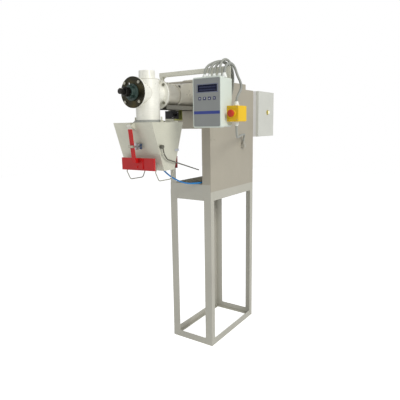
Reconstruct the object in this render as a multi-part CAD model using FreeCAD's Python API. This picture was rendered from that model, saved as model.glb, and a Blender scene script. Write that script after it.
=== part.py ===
# Auger powder filler on a welded stand, modelled in millimetres.
# X runs to the operator's right, Y runs from the operator into the machine, Z is up.
# Every size below is measured from the front face of the stand (Y = 0), its centre plane
# (X = 0) and the floor (Z = 0). save() then moves every piece by the same amount, so that
# the files share an origin on the floor under the middle of the whole object's outline.
import FreeCAD, Part
import math
import os

V = FreeCAD.Vector

# Stand and upper body.
STAND_W = 275.0
STAND_D = 500.0
LEG_A = 45.0
LEG_B = 32.0
LEG_T = 4.0
RAIL_H = 38.0
RAIL_W = 20.0
RAIL_T = 3.0
RING_TOP = 902.0
RING_H = 50.0
BASE_RAIL_H = 40.0
POST_A = 36.0
SHEET = 2.0
BODY_TOP = 1497.0
BODY_STEP = 30.0
BODY_STEP_Y = STAND_D - 100.0
BODY_REAR_TOP = BODY_TOP - BODY_STEP
BOX_H = 253.0
BOX_BOTTOM = BODY_TOP - BOX_H
RETURN_W = 54.0
REAR_RETURN_W = 22.0
HALF_W = STAND_W / 2
BASE_TOP = RING_TOP + BASE_RAIL_H

# Dosing line. The auger's axis hangs from the body's top, and the column, beam, load cell and
# spout follow the axis.
AXIS_DEPTH = 84.0
AXIS_Z = BODY_TOP - AXIS_DEPTH
COLUMN_Y = -333.0
COLUMN_R = 57.15
COLUMN_RISE = 63.0
COLUMN_TOP = AXIS_Z + COLUMN_RISE
PIPE_T = 3.0
TUBE_R = 50.8
FLANGE_R = 70.0
FLANGE_T = 8.0
FLANGE_BOLT_R = FLANGE_R - 10.0
JOINT_FLANGE_R = FLANGE_R - 12.0
FRONT_FLANGE_Y = COLUMN_Y - 97.0
REAR_FLANGE_Y = COLUMN_Y + 79.0
TUBE_END_Y = -134.0
TROUGH_END_Y = 190.0
SPIGOT_R = 38.0
SPIGOT_H = 40.0
SPIGOT_TOP = COLUMN_TOP + SPIGOT_H
SHAFT_R = 12.0
RUN_CLEARANCE = 0.06
FLIGHT_R = TUBE_R - 5.3
FLIGHT_PITCH = 80.0
FLIGHT_T = 3.0
FLIGHT_STEPS = 20
SHAFT_FRONT_Y = FRONT_FLANGE_Y - 90.0
SHAFT_REAR_Y = TROUGH_END_Y + 29.0

# Weighing support.
BEAM_HALF = 42.0
BEAM_H = 21.0
BEAM_TOP = AXIS_Z - TUBE_R
BEAM_BOTTOM = BEAM_TOP - BEAM_H
BEAM_FRONT_Y = REAR_FLANGE_Y + 12.0
CELL_SPACER = 6.0
CELL_H = 39.2
CELL_Y0 = -178.0
CELL_Y1 = -116.0
CELL_HOLE_R = 8.5
CELL_FOOT_T = 10.0
HANGER_T = 8.0
CELL_TOP = BEAM_BOTTOM - CELL_SPACER
CELL_BOTTOM = CELL_TOP - CELL_H
HANGER_TOP = CELL_BOTTOM - CELL_FOOT_T

# Spout and bag clamp.
SPOUT_TOP = HANGER_TOP - HANGER_T
SPOUT_H = 223.0
SPOUT_BOTTOM = SPOUT_TOP - SPOUT_H
COLUMN_DIP = 26.0
COLUMN_BOTTOM = SPOUT_TOP - COLUMN_DIP
SPOUT_HALF_X = 118.0
SPOUT_HALF_TOP = 117.0
SPOUT_HALF_OUT = 39.5
SPOUT_T = 2.0
SPOUT_Y = COLUMN_Y + 1.5
HINGE_Z = SPOUT_TOP - 16.0
HINGE_OUT = SPOUT_HALF_TOP + 15.5
LEVER_FOOT_Z = SPOUT_BOTTOM + 50.0
LEVER_FOOT_OUT = SPOUT_HALF_OUT + 73.0
LEVER_W = 22.0
LEVER_T = 5.0
PIN_R = 4.0
CYL_Z = SPOUT_BOTTOM + 114.0
CYL_R = 15.0
CYL_LEN_OUT = SPOUT_HALF_OUT + 61.0
ROD_R = 4.0
CROSS_R = 6.0
JAW_OUT = SPOUT_HALF_OUT + 47.0
JAW_T = 3.0
JAW_FOLD = 7.0
JAW_HALF = SPOUT_HALF_X - 18.0
JAW_BOTTOM = SPOUT_BOTTOM + 2.0
JAW_H = 58.0
JAW_TOP = JAW_BOTTOM + JAW_H
WIRE_R = 2.5
WIRE_X = SPOUT_HALF_X - 28.0

# Arm, controller, stop box.
STRAIGHT = 0.004
CABLE_R = 5.5
CONDUIT_R = 6.0
STOP_CABLE_R = 5.5
HOSE_R = 4.0
ARM_SIZE = 20.0
ARM_RISE = 52.2
ARM_TOP = AXIS_Z + TUBE_R + ARM_RISE
ARM_Y = REAR_FLANGE_Y + 26.0
CTRL_X0 = 257.0
CTRL_W = 146.0
CTRL_X1 = CTRL_X0 + CTRL_W
CTRL_D = 98.0
CTRL_Y1 = ARM_Y - 4.0
CTRL_Y0 = CTRL_Y1 - CTRL_D
CTRL_H = 216.0
CTRL_Z1 = ARM_TOP - 50.0
CTRL_Z0 = CTRL_Z1 - CTRL_H
CTRL_FRONT_T = 30.0
ARM_RIGHT = CTRL_X1 - 31.0
WINDOW_X0 = CTRL_X0 + 27.0
WINDOW_X1 = CTRL_X0 + 127.0
WINDOW_Z0 = CTRL_Z1 - 63.0
WINDOW_Z1 = CTRL_Z1 - 33.0
KEY_X = tuple(CTRL_X0 + u for u in (39.0, 64.0, 89.0, 114.0))
KEY_Z = CTRL_Z1 - 91.0
GLAND_X = tuple(CTRL_X0 + u for u in (33.0, 59.0, 84.0, 111.0, 134.0))
GLAND_Y = CTRL_Y1 - 49.0
STOP_W = 54.0
STOP_D = 75.0
STOP_H = 68.0
STOP_Z0 = CTRL_Z0 + 25.0
STOP_Z1 = STOP_Z0 + STOP_H
STOP_Y0 = CTRL_Y1 - 44.0
STOP_R = 16.0
STOP_CABLE_Y = STOP_Y0 + 36.0
STOP_BUTTON_Z = STOP_Z0 + 35.0
STOP_RIGHT = CTRL_X1 + STOP_W

# Rear cabinet.
CAB_X0 = -HALF_W + 11.5
CAB_X1 = HALF_W + 36.5
CAB_Y0 = STAND_D
CAB_D = 224.0
CAB_Y1 = CAB_Y0 + CAB_D
CAB_H = 276.0
CAB_Z1 = BODY_REAR_TOP - 3.0
CAB_Z0 = CAB_Z1 - CAB_H
LAMP_Y = CAB_Y0 + 130.0
LAMP_Z = CAB_Z0 + 149.0
SCREW_HEAD = 2.5


def box(x0, x1, y0, y1, z0, z1):
    return Part.makeBox(x1 - x0, y1 - y0, z1 - z0, V(x0, y0, z0))


def rod(p, axis, r, length):
    return Part.makeCylinder(r, length, V(*p), V(*axis))


def pipe(p, axis, r_out, r_in, length):
    return rod(p, axis, r_out, length).cut(rod(p, axis, r_in, length))


def prism_yz(points, x0, x1):
    """Solid from a closed (y, z) outline, drawn along X."""
    loop = [V(x0, y, z) for y, z in points]
    loop.append(loop[0])
    return Part.Face(Part.makePolygon(loop)).extrude(V(x1 - x0, 0, 0))


def prism_xz(points, y0, y1):
    """Solid from a closed (x, z) outline, drawn along Y."""
    loop = [V(x, y0, z) for x, z in points]
    loop.append(loop[0])
    return Part.Face(Part.makePolygon(loop)).extrude(V(0, y1 - y0, 0))


def prism_xy(points, z0, z1):
    """Solid from a closed (x, y) outline, drawn along Z."""
    loop = [V(x, y, z0) for x, y in points]
    loop.append(loop[0])
    return Part.Face(Part.makePolygon(loop)).extrude(V(0, 0, z1 - z0))


def turned_y(profile, x=0.0, z=AXIS_Z):
    """Turned piece about a line along Y: profile is (radius, y) pairs."""
    loop = [V(x + r, y, z) for r, y in profile]
    loop.append(loop[0])
    return Part.Face(Part.makePolygon(loop)).revolve(V(x, 0, z), V(0, 1, 0), 360)


def turned_z(profile, x, y):
    """Turned piece about a vertical line: profile is (radius, z) pairs."""
    loop = [V(x + r, y, z) for r, z in profile]
    loop.append(loop[0])
    return Part.Face(Part.makePolygon(loop)).revolve(V(x, y, 0), V(0, 0, 1), 360)


def turned_x(profile, y, z):
    """Turned piece about a line along X: profile is (radius, x) pairs."""
    loop = [V(x, y + r, z) for r, x in profile]
    loop.append(loop[0])
    return Part.Face(Part.makePolygon(loop)).revolve(V(0, y, z), V(1, 0, 0), 360)


def fuse(shapes):
    shapes = list(shapes)
    out = shapes[0].multiFuse(shapes[1:])
    return out.removeSplitter()


def hexagon(p, axis, flats, height):
    """Hexagonal head or nut that starts at p and grows along axis."""
    r = flats / math.sqrt(3)
    a = V(*axis)
    side = V(0, 0, 1) if abs(a.z) < 0.5 else V(1, 0, 0)
    other = a.cross(side)
    loop = []
    for i in range(7):
        t = math.radians(60 * i + 30)
        loop.append(V(*p) + side * (r * math.cos(t)) + other * (r * math.sin(t)))
    return Part.Face(Part.makePolygon(loop)).extrude(a * height)


def bolt(p, axis, size, length):
    """Hex bolt: p is under the head, the shank runs along -axis."""
    back = (-axis[0], -axis[1], -axis[2])
    return hexagon(p, axis, 1.6 * size, 0.65 * size).fuse(rod(p, back, size / 2, length))


def circle_points(radius, count, start=45.0):
    out = []
    for i in range(count):
        t = math.radians(start + 360.0 * i / count)
        out.append((radius * math.cos(t), radius * math.sin(t)))
    return out


def rounded_xz(x0, x1, z0, z1, y0, y1, r):
    """Block with its four long edges along Y rounded."""
    b = box(x0, x1, y0, y1, z0, z1)
    edges = [e for e in b.Edges if abs(e.Vertexes[0].Y - e.Vertexes[-1].Y) > 0.5 * (y1 - y0)]
    return b.makeFillet(r, edges)


def angle_bar_z(x, y, sx, sy, a, b, t, z0, z1):
    """Upright angle: outer corner at (x, y), flange a along X, flange b along Y."""
    outline = [(0, 0), (a, 0), (a, t), (t, t), (t, b), (0, b)]
    return prism_xy([(x + sx * u, y + sy * v) for u, v in outline], z0, z1)


ORIGIN_X = (STOP_RIGHT - HALF_W) / 2
ORIGIN_Y = (SHAFT_FRONT_Y + CAB_Y1 + SCREW_HEAD) / 2


def save(name, shape):
    out = shape.copy()
    out.translate(V(-ORIGIN_X, -ORIGIN_Y, 0))
    out.exportStep("parts/" + name + ".step")


# Stand: four angle legs, a low rail of unequal angle and a heavier top ring, all welded.
def rail_along_x(y, s, x0, x1, z, h, w, t, top):
    flat = (z + h - t, z + h) if top else (z, z + t)
    upright = box(x0, x1, min(y, y + s * t), max(y, y + s * t), z, z + h)
    shelf = box(x0, x1, min(y, y + s * w), max(y, y + s * w), flat[0], flat[1])
    return upright.fuse(shelf)


def rail_along_y(x, s, y0, y1, z, h, w, t, top):
    flat = (z + h - t, z + h) if top else (z, z + t)
    upright = box(min(x, x + s * t), max(x, x + s * t), y0, y1, z, z + h)
    shelf = box(min(x, x + s * w), max(x, x + s * w), y0, y1, flat[0], flat[1])
    return upright.fuse(shelf)


def frame_ring(z, h, w, t, top, inset=0.0):
    x = HALF_W - inset
    y0 = inset
    y1 = STAND_D - inset
    return [
        rail_along_x(y0, 1, -x, x, z, h, w, t, top),
        rail_along_x(y1, -1, -x, x, z, h, w, t, top),
        rail_along_y(-x, 1, y0, y1, z, h, w, t, top),
        rail_along_y(x, -1, y0, y1, z, h, w, t, top),
    ]


def corner_posts(a, b, t, z0, z1, inset=0.0):
    x = HALF_W - inset
    out = []
    for sx in (-1, 1):
        for y, sy in ((inset, 1), (STAND_D - inset, -1)):
            out.append(angle_bar_z(sx * x, y, -sx, sy, a, b, t, z0, z1))
    return out


def make_stand():
    parts = corner_posts(LEG_A, LEG_B, LEG_T, 0, RING_TOP)
    parts += frame_ring(0, RAIL_H, RAIL_W, RAIL_T, False)
    parts += frame_ring(RING_TOP - RING_H, RING_H, RING_H, LEG_T, True)
    save("stand_frame", fuse(parts))


# Upper body: an inner angle frame with sheet panels on it.
def make_upper_frame():
    base = frame_ring(RING_TOP, BASE_RAIL_H, BASE_RAIL_H, RAIL_T, False, SHEET)
    base.append(box(-HALF_W + SHEET, HALF_W - SHEET, 0, SHEET, RING_TOP, BASE_TOP))
    posts = corner_posts(POST_A, POST_A, RAIL_T, RING_TOP, BODY_REAR_TOP - SHEET, SHEET)
    save("upper_frame", fuse(base + posts))


def side_outline(top_cut):
    """Heights of the front and the lower rear top, less a cut."""
    z1 = BODY_TOP - top_cut
    z2 = BODY_REAR_TOP - top_cut
    return z1, z2


def make_right_panel():
    z1, z2 = side_outline(SHEET)
    side = [(0, RING_TOP), (STAND_D, RING_TOP), (STAND_D, z2), (BODY_STEP_Y, z2)]
    side += [(BODY_STEP_Y, z1), (0, z1)]
    x = HALF_W
    skin = prism_yz(side, x - SHEET, x)
    front = box(x - RETURN_W, x, 0, SHEET, BASE_TOP, z1)
    rear = box(x - REAR_RETURN_W, x, STAND_D - SHEET, STAND_D, BASE_TOP, z2)
    panel = fuse([skin, front, rear])
    for z in CABLE_ENTRY_Z:
        panel = panel.cut(rod((CABLE_ENTRY_X, -1, z), (0, 1, 0), CABLE_R + 1.5, 6))
    save("right_panel", panel)


def make_left_panel():
    z1, z2 = side_outline(SHEET)
    side = [(SHEET, BOX_BOTTOM), (STAND_D - SHEET, BOX_BOTTOM), (STAND_D - SHEET, z2)]
    side += [(BODY_STEP_Y, z2), (BODY_STEP_Y, z1), (SHEET, z1)]
    skin = prism_yz(side, -HALF_W, -HALF_W + SHEET)
    for i in range(6):
        z = BOX_BOTTOM + 46 + 14 * i
        slot = box(-HALF_W - 1, -HALF_W + SHEET + 1, STAND_D - 160, STAND_D - 70, z, z + 5)
        skin = skin.cut(slot)
    save("left_panel", skin)


def make_front_panel():
    x1 = HALF_W - RETURN_W
    p = box(-HALF_W, x1, 0, SHEET, BOX_BOTTOM, BODY_TOP - SHEET)
    p = p.cut(rod((0, -1, AXIS_Z), (0, 1, 0), TUBE_R + 1, 5))
    p = p.cut(box(-TUBE_R - 1, TUBE_R + 1, -1, 5, AXIS_Z, BODY_TOP - 8.5))
    notch = box(-BEAM_HALF - 1, BEAM_HALF + 1, -1, 5, BEAM_BOTTOM - 1, AXIS_Z)
    save("front_panel", p.cut(notch))


def make_back_panel():
    x1 = HALF_W - REAR_RETURN_W
    p = box(-HALF_W, x1, STAND_D - SHEET, STAND_D, BASE_TOP, BODY_REAR_TOP - SHEET)
    save("back_panel", p.cut(rod((60, STAND_D - 5, BOX_BOTTOM + 6), (0, 1, 0), 14, 10)))


def make_top_cover():
    """One folded sheet: front top, riser at the step and the lower rear top."""
    z = BODY_REAR_TOP
    front = box(-HALF_W, HALF_W, 0, BODY_STEP_Y, BODY_TOP - SHEET, BODY_TOP)
    front = front.cut(rod((0, INLET_Y, BODY_TOP - 5), (0, 0, 1), INLET_R + 1, 10))
    rear = box(-HALF_W, HALF_W, BODY_STEP_Y, STAND_D, z - SHEET, z)
    inner = HALF_W - SHEET
    riser = box(-inner, inner, BODY_STEP_Y - SHEET, BODY_STEP_Y, z - SHEET, BODY_TOP)
    save("top_cover", fuse([front, riser, rear]))


def make_box_floor():
    x = HALF_W - SHEET
    p = box(-x, x, SHEET, STAND_D - SHEET, BOX_BOTTOM, BOX_BOTTOM + SHEET)
    corner = POST_A + SHEET
    for sx in (-1, 1):
        for y in (SHEET, STAND_D - corner):
            x0 = min(sx * x, sx * (x - POST_A))
            p = p.cut(box(x0, x0 + POST_A, y, y + POST_A, BOX_BOTTOM - 1, BOX_BOTTOM + 4))
    save("box_floor", p)


# Inlet: a trough under a short neck that ends in a flange on the top cover.
INLET_Y = 95.0
INLET_R = 57.15
TROUGH_TOP = BODY_TOP - 7.0
TROUGH_END_TOP = BODY_TOP - 17.0
NECK_Z = AXIS_Z + 27.0
CABLE_ENTRY_X = HALF_W - 27.5
CABLE_ENTRY_Z = tuple(AXIS_Z + u for u in (27.0, -5.0, -37.0, -69.0))


def trough_section(grow, y0, y1):
    """U section round the auger, open upwards, used for the skin and for the hollow."""
    r = TUBE_R - grow
    low = rod((0, y0, AXIS_Z), (0, 1, 0), r, y1 - y0)
    return low.fuse(box(-r, r, y0, y1, AXIS_Z, BODY_TOP + 20))


def trough_side(cut):
    """Side outline of the trough: it rises from the tube to the inlet neck."""
    y0 = TUBE_END_Y + cut
    y1 = TROUGH_END_Y - cut
    r = TUBE_R - cut
    return [(y0, AXIS_Z - r), (y1, AXIS_Z - r), (y1, TROUGH_END_TOP - cut),
            (INLET_Y + 60, TROUGH_TOP - cut), (20, TROUGH_TOP - cut), (y0, AXIS_Z + r)]


def make_feed_trough():
    skin = trough_section(0, TUBE_END_Y, TROUGH_END_Y)
    wide = TUBE_R + 29.2
    skin = skin.common(prism_yz(trough_side(0), -wide, wide))
    neck = rod((0, INLET_Y, NECK_Z), (0, 0, 1), INLET_R, BODY_TOP - NECK_Z)
    flange = turned_y([(0, TUBE_END_Y), (JOINT_FLANGE_R, TUBE_END_Y),
                       (JOINT_FLANGE_R, TUBE_END_Y + FLANGE_T), (0, TUBE_END_Y + FLANGE_T)])
    end = TUBE_R + 24.2
    plate = box(-end, end, TROUGH_END_Y - 6, TROUGH_END_Y, BEAM_TOP, TROUGH_TOP)
    body = fuse([skin, neck, flange, plate])
    hollow = trough_section(PIPE_T, TUBE_END_Y - 1, TROUGH_END_Y - 6)
    low = AXIS_Z - TUBE_R - 9.2
    hollow = hollow.common(prism_yz([(TUBE_END_Y - 1, low), (TROUGH_END_Y - 6, low),
                                     (TROUGH_END_Y - 6, TROUGH_END_TOP - PIPE_T),
                                     (INLET_Y + 60, TROUGH_TOP - PIPE_T), (22, TROUGH_TOP - PIPE_T),
                                     (TUBE_END_Y - 1, AXIS_Z + TUBE_R - PIPE_T)], -wide, wide))
    throat = rod((0, INLET_Y, NECK_Z), (0, 0, 1), INLET_R - PIPE_T, BODY_TOP - NECK_Z + 10)
    body = body.cut(hollow).cut(throat)
    body = body.cut(rod((0, TROUGH_END_Y - 10, AXIS_Z), (0, 1, 0), SHAFT_R + 1, 20))
    save("feed_trough", fuse([body, inlet_ring()]))


def inlet_ring():
    """Bolting flange on the neck, resting on the top cover."""
    r = INLET_R - PIPE_T
    ring = turned_z([(r, BODY_TOP), (85, BODY_TOP), (85, BODY_TOP + 6), (r, BODY_TOP + 6)],
                    0, INLET_Y)
    for u, v in circle_points(74, 6, 0):
        ring = ring.cut(rod((u, INLET_Y + v, BODY_TOP - 1), (0, 0, 1), 4.5, 10))
    return ring


# Column: vertical pipe with a short cross pipe that carries the bearing and the auger tube.
def make_column():
    z0 = COLUMN_BOTTOM
    up = rod((0, COLUMN_Y, z0), (0, 0, 1), COLUMN_R, COLUMN_TOP - z0)
    cross = rod((0, FRONT_FLANGE_Y, AXIS_Z), (0, 1, 0), TUBE_R, REAR_FLANGE_Y - FRONT_FLANGE_Y)
    front = rod((0, FRONT_FLANGE_Y, AXIS_Z), (0, 1, 0), FLANGE_R, FLANGE_T)
    rear = rod((0, REAR_FLANGE_Y - FLANGE_T, AXIS_Z), (0, 1, 0), FLANGE_R, FLANGE_T)
    body = fuse([up, cross, front, rear])
    bore = rod((0, COLUMN_Y, z0 - 1), (0, 0, 1), COLUMN_R - PIPE_T, COLUMN_TOP - z0 + 2)
    cbore = rod((0, FRONT_FLANGE_Y - 1, AXIS_Z), (0, 1, 0), TUBE_R - PIPE_T,
                REAR_FLANGE_Y - FRONT_FLANGE_Y + 2)
    body = body.cut(bore.fuse(cbore))
    for u, v in circle_points(FLANGE_BOLT_R, 4):
        body = body.cut(rod((u, FRONT_FLANGE_Y - 1, AXIS_Z + v), (0, 1, 0), 4.2, FLANGE_T + 2))
        body = body.cut(rod((u, REAR_FLANGE_Y - FLANGE_T - 1, AXIS_Z + v), (0, 1, 0), 4.2, 10))
    save("column", body)


def make_vent_spigot():
    r = COLUMN_R
    z = COLUMN_TOP
    profile = [(SPIGOT_R - PIPE_T, z), (r, z), (r, z + 3), (SPIGOT_R, z + 3),
               (SPIGOT_R, SPIGOT_TOP), (SPIGOT_R - PIPE_T, SPIGOT_TOP)]
    save("vent_spigot", turned_z(profile, 0, COLUMN_Y))


def make_bearing_plate():
    y = FRONT_FLANGE_Y
    disc = turned_y([(SHAFT_R + 1, y - FLANGE_T), (FLANGE_R - 1, y - FLANGE_T), (FLANGE_R, y - FLANGE_T + 1),
                     (FLANGE_R, y), (SHAFT_R + 1, y)])
    for u, v in circle_points(FLANGE_BOLT_R, 4):
        disc = disc.cut(rod((u, y - FLANGE_T - 1, AXIS_Z + v), (0, 1, 0), 4.2, FLANGE_T + 4))
    for u, v in circle_points(30, 4):
        disc = disc.cut(rod((u, y - FLANGE_T - 1, AXIS_Z + v), (0, 1, 0), 3.2, FLANGE_T + 4))
    save("bearing_plate", disc)


def make_bearing_housing():
    """Cast flanged bearing unit: round foot, domed body and a grease boss."""
    y = FRONT_FLANGE_Y - FLANGE_T
    core = turned_y([(SHAFT_R + 6, y - 27), (24, y - 27), (27, y - 24), (29, y - 10),
                     (36, y - 8), (38, y - 6), (38, y), (SHAFT_R + 6, y)])
    boss = rod((0, y - 16, AXIS_Z + 22), (0, 0, 1), 4, 12)
    core = core.fuse(boss)
    for u, v in circle_points(30, 4):
        core = core.cut(rod((u, y - 40, AXIS_Z + v), (0, 1, 0), 3.2, 45))
        core = core.cut(rod((u, y - 40, AXIS_Z + v), (0, 1, 0), 6.6, 33.5))
    bore = SHAFT_R + RUN_CLEARANCE
    insert = turned_y([(bore, y - 24), (SHAFT_R + 6, y - 24), (SHAFT_R + 6, y - 4), (bore, y - 4)])
    core = core.cut(rod((0, y - 40, AXIS_Z), (0, 1, 0), SHAFT_R + 6, 45))
    bolts = [bolt((u, y - 6.5, AXIS_Z + v), (0, -1, 0), 6, 14.5) for u, v in circle_points(30, 4)]
    save("bearing_housing", fuse([core, insert] + bolts))


def make_shaft_collar():
    y = FRONT_FLANGE_Y - FLANGE_T - 30.0
    ring = turned_y([(SHAFT_R, y - 26), (SHAFT_R + 5, y - 26), (SHAFT_R + 8.5, y - 22), (SHAFT_R + 8.5, y),
                     (SHAFT_R, y)])
    screw = rod((0, y - 12, AXIS_Z + 14), (0, 0, 1), 3, 5)
    save("shaft_collar", ring.cut(screw))


def flight_section(i, y0):
    """Four corners of the flight's section after i steps round the shaft."""
    t = 2 * math.pi * i / FLIGHT_STEPS
    y = y0 + FLIGHT_PITCH * i / FLIGHT_STEPS
    out = []
    for r, dy in ((SHAFT_R - 1, 0), (FLIGHT_R, 0), (FLIGHT_R, FLIGHT_T), (SHAFT_R - 1, FLIGHT_T)):
        out.append(V(r * math.cos(t), y + dy, AXIS_Z + r * math.sin(t)))
    return out


def tri(a, b, c):
    return Part.Face(Part.makePolygon([a, b, c, a]))


def make_flight(y0, y1):
    """Screw flight in flat facets: one small wedge after another round the shaft."""
    count = int((y1 - y0) / FLIGHT_PITCH * FLIGHT_STEPS)
    rows = [flight_section(i, y0) for i in range(count + 1)]
    faces = []
    for p, q in zip(rows, rows[1:]):
        for k in range(4):
            m = (k + 1) % 4
            faces.append(tri(p[k], p[m], q[m]))
            faces.append(tri(p[k], q[m], q[k]))
    for row in (rows[0], rows[-1]):
        faces.append(Part.Face(Part.makePolygon(row + [row[0]])))
    solid = Part.makeSolid(Part.makeShell(faces))
    if solid.Volume < 0:
        solid.reverse()
    return solid


def make_auger():
    """Shaft with a helical flight, from the column back to the inlet trough."""
    front = SHAFT_FRONT_Y
    shaft = turned_y([(0, front), (SHAFT_R - 2, front), (SHAFT_R, front + 2),
                      (SHAFT_R, SHAFT_REAR_Y), (0, SHAFT_REAR_Y)])
    flight = make_flight(COLUMN_Y - 20, TROUGH_END_Y - 12)
    save("auger", shaft.fuse(flight))


def make_auger_tube():
    y0 = REAR_FLANGE_Y
    y1 = TUBE_END_Y
    r = TUBE_R
    tube = turned_y([(r - PIPE_T, y0), (FLANGE_R, y0), (FLANGE_R, y0 + FLANGE_T), (r, y0 + FLANGE_T),
                     (r, y1 - FLANGE_T), (JOINT_FLANGE_R, y1 - FLANGE_T), (JOINT_FLANGE_R, y1),
                     (r - PIPE_T, y1)])
    for u, v in circle_points(FLANGE_BOLT_R, 4):
        tube = tube.cut(rod((u, y0 - 1, AXIS_Z + v), (0, 1, 0), 4.2, FLANGE_T + 2))
    save("auger_tube", tube)


def bolt_circle(y, grip, radius, size, sign):
    """Through bolts with nuts; y is under the heads, which point along sign."""
    out = []
    for u, v in circle_points(radius, 4):
        p = (u, y, AXIS_Z + v)
        one = bolt(p, (0, sign, 0), size, grip + 0.8 * size)
        nut = hexagon((u, y - sign * grip, AXIS_Z + v), (0, -sign, 0), 1.6 * size, 0.6 * size)
        out.append(one.fuse(nut))
    return out


def make_flange_bolts():
    out = bolt_circle(FRONT_FLANGE_Y - FLANGE_T, 2 * FLANGE_T, FLANGE_BOLT_R, 8, -1)
    out += bolt_circle(REAR_FLANGE_Y + FLANGE_T, 2 * FLANGE_T, FLANGE_BOLT_R, 8, 1)
    save("flange_bolts", Part.makeCompound(out))


# Drive inside the upper box: lantern, coupling, gearbox, motor and its fan.
def lantern():
    y0 = TROUGH_END_Y
    y1 = y0 + 50
    core = turned_y([(30, y0), (48, y0), (48, y0 + 6), (40, y0 + 6), (40, y1 - 6), (48, y1 - 6),
                     (48, y1), (30, y1)])
    return core.cut(box(-60, 60, y0 + 12, y1 - 12, AXIS_Z - 12, AXIS_Z + 60))


def make_coupling():
    """Flexible coupling on the end of the auger, with the gearbox output shaft."""
    y0 = TROUGH_END_Y + 12
    parts = [turned_y([(SHAFT_R, y0), (24, y0), (24, y0 + 12), (SHAFT_R, y0 + 12)]),
             turned_y([(SHAFT_R, y0 + 12), (20, y0 + 12), (20, y0 + 17), (SHAFT_R, y0 + 17)]),
             turned_y([(SHAFT_R, y0 + 17), (24, y0 + 17), (24, y0 + 29), (SHAFT_R, y0 + 29)])]
    y1 = SHAFT_REAR_Y
    shaft = turned_y([(0, y1), (SHAFT_R, y1), (SHAFT_R, y1 + 14), (10, y1 + 14), (10, y1 + 50),
                      (0, y1 + 50)])
    save("coupling", fuse(parts + [shaft]))


def make_gearbox():
    y0 = TROUGH_END_Y + 50
    body = rounded_xz(-48, 48, AXIS_Z - 48, AXIS_Z + 48, y0, y0 + 78, 10)
    foot = box(-50, 50, y0 + 12, y0 + 66, AXIS_Z - 60, AXIS_Z - 44)
    body = fuse([body, foot, lantern()])
    body = body.cut(rod((0, y0 - 8, AXIS_Z), (0, 1, 0), 10 + RUN_CLEARANCE, 47))
    save("gearbox", body)


def make_drive_pedestal():
    z0 = BOX_BOTTOM + SHEET
    z1 = AXIS_Z - 60
    y0 = TROUGH_END_Y + 58
    y1 = y0 + 62
    plate = box(-58, 58, y0, y1, z1 - 6, z1)
    foot = box(-70, 70, y0, y1, z0, z0 + 5)
    webs = [box(s * 40 - 2.5, s * 40 + 2.5, y0, y1, z0, z1) for s in (-1, 1)]
    save("drive_pedestal", fuse([plate, foot] + webs))


def make_motor():
    """Motor barrel with cooling fins; the bell end towards the gearbox is plain."""
    y0 = TROUGH_END_Y + 128
    y1 = y0 + 104
    barrel = turned_y([(0, y0), (46, y0), (46, y0 + 8), (42, y0 + 10), (42, y1), (0, y1)])
    fins = []
    for i in range(20):
        f = box(40, 49, y0 + 14, y1 - 12, -1.2, 1.2)
        f.rotate(V(0, 0, 0), V(0, 1, 0), 18.0 * i)
        f.translate(V(0, 0, AXIS_Z))
        fins.append(f)
    body = fuse([barrel, terminal_box()] + fins)
    body = body.cut(rod((0, y1 - 20, AXIS_Z), (0, 1, 0), 6 + RUN_CLEARANCE, 30))
    save("motor", body)


def make_motor_fan():
    y1 = TROUGH_END_Y + 128 + 104
    hub = rod((0, y1 - 18, AXIS_Z), (0, 1, 0), 6, 24).fuse(rod((0, y1 + 4, AXIS_Z), (0, 1, 0), 11, 14))
    blades = []
    for i in range(7):
        b = box(9, 34, y1 + 5, y1 + 17, -1, 1)
        b.rotate(V(0, 0, 0), V(0, 1, 0), 360.0 * i / 7)
        b.translate(V(0, 0, AXIS_Z))
        blades.append(b)
    save("motor_fan", fuse([hub] + blades))


def make_fan_cover():
    y0 = TROUGH_END_Y + 128 + 104
    shell = turned_y([(42, y0 - 10), (45.5, y0 - 10), (45.5, y0 + 26), (40, y0 + 30), (0, y0 + 30),
                      (0, y0 + 27), (38, y0 + 27), (42, y0 + 24)])
    for u, v in circle_points(24, 8, 0):
        shell = shell.cut(rod((u, y0 + 20, AXIS_Z + v), (0, 1, 0), 6, 20))
    save("fan_cover", shell)


def terminal_box():
    y0 = TROUGH_END_Y + 128 + 26
    shell = box(-92, -41, y0, y0 + 60, AXIS_Z - 22, AXIS_Z + 22)
    return shell


# Support beam, load cell and the plate that hangs the spout from it.
def make_support_beam():
    y0 = BEAM_FRONT_Y
    y1 = TROUGH_END_Y
    z1 = BEAM_TOP
    z0 = BEAM_BOTTOM
    w = BEAM_HALF
    outline = [(-w, z0), (-w + 3, z0), (-w + 3, z1 - 4), (w - 3, z1 - 4), (w - 3, z0), (w, z0),
               (w, z1), (-w, z1)]
    channel = prism_xz(outline, y0, y1)
    pad = box(-24, 24, CELL_Y1 - 34, CELL_Y1 + 56, z0, z1 - 4)
    spacer = box(-20, 20, CELL_Y1 - 22, CELL_Y1, z0 - CELL_SPACER, z0)
    beam = fuse([channel, pad, spacer] + beam_post())
    joint_y = TUBE_END_Y - FLANGE_T - 0.5
    relief = rod((0, joint_y, AXIS_Z), (0, 1, 0), JOINT_FLANGE_R + 0.3, 2 * FLANGE_T + 1)
    save("support_beam", beam.cut(relief))


def beam_post():
    z0 = BOX_BOTTOM + SHEET
    z1 = BEAM_BOTTOM
    web = box(-BEAM_HALF, BEAM_HALF, 150, 155, z0, z1)
    foot = box(-BEAM_HALF, BEAM_HALF, 150, 186, z0, z0 + 5)
    head = box(-BEAM_HALF, BEAM_HALF, 150, 186, z1 - 5, z1)
    return [web, foot, head]


def make_load_cell():
    middle = (CELL_BOTTOM + CELL_TOP) / 2
    y0 = CELL_Y0 + 22
    y1 = CELL_Y1 - 22
    block = box(-20, 20, CELL_Y0, CELL_Y1, CELL_BOTTOM, CELL_TOP)
    for y in (y0, y1):
        block = block.cut(rod((-21, y, middle), (1, 0, 0), CELL_HOLE_R, 42))
    waist = box(-21, 21, y0, y1, middle - 4, middle + 4)
    save("load_cell", block.cut(waist))


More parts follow.
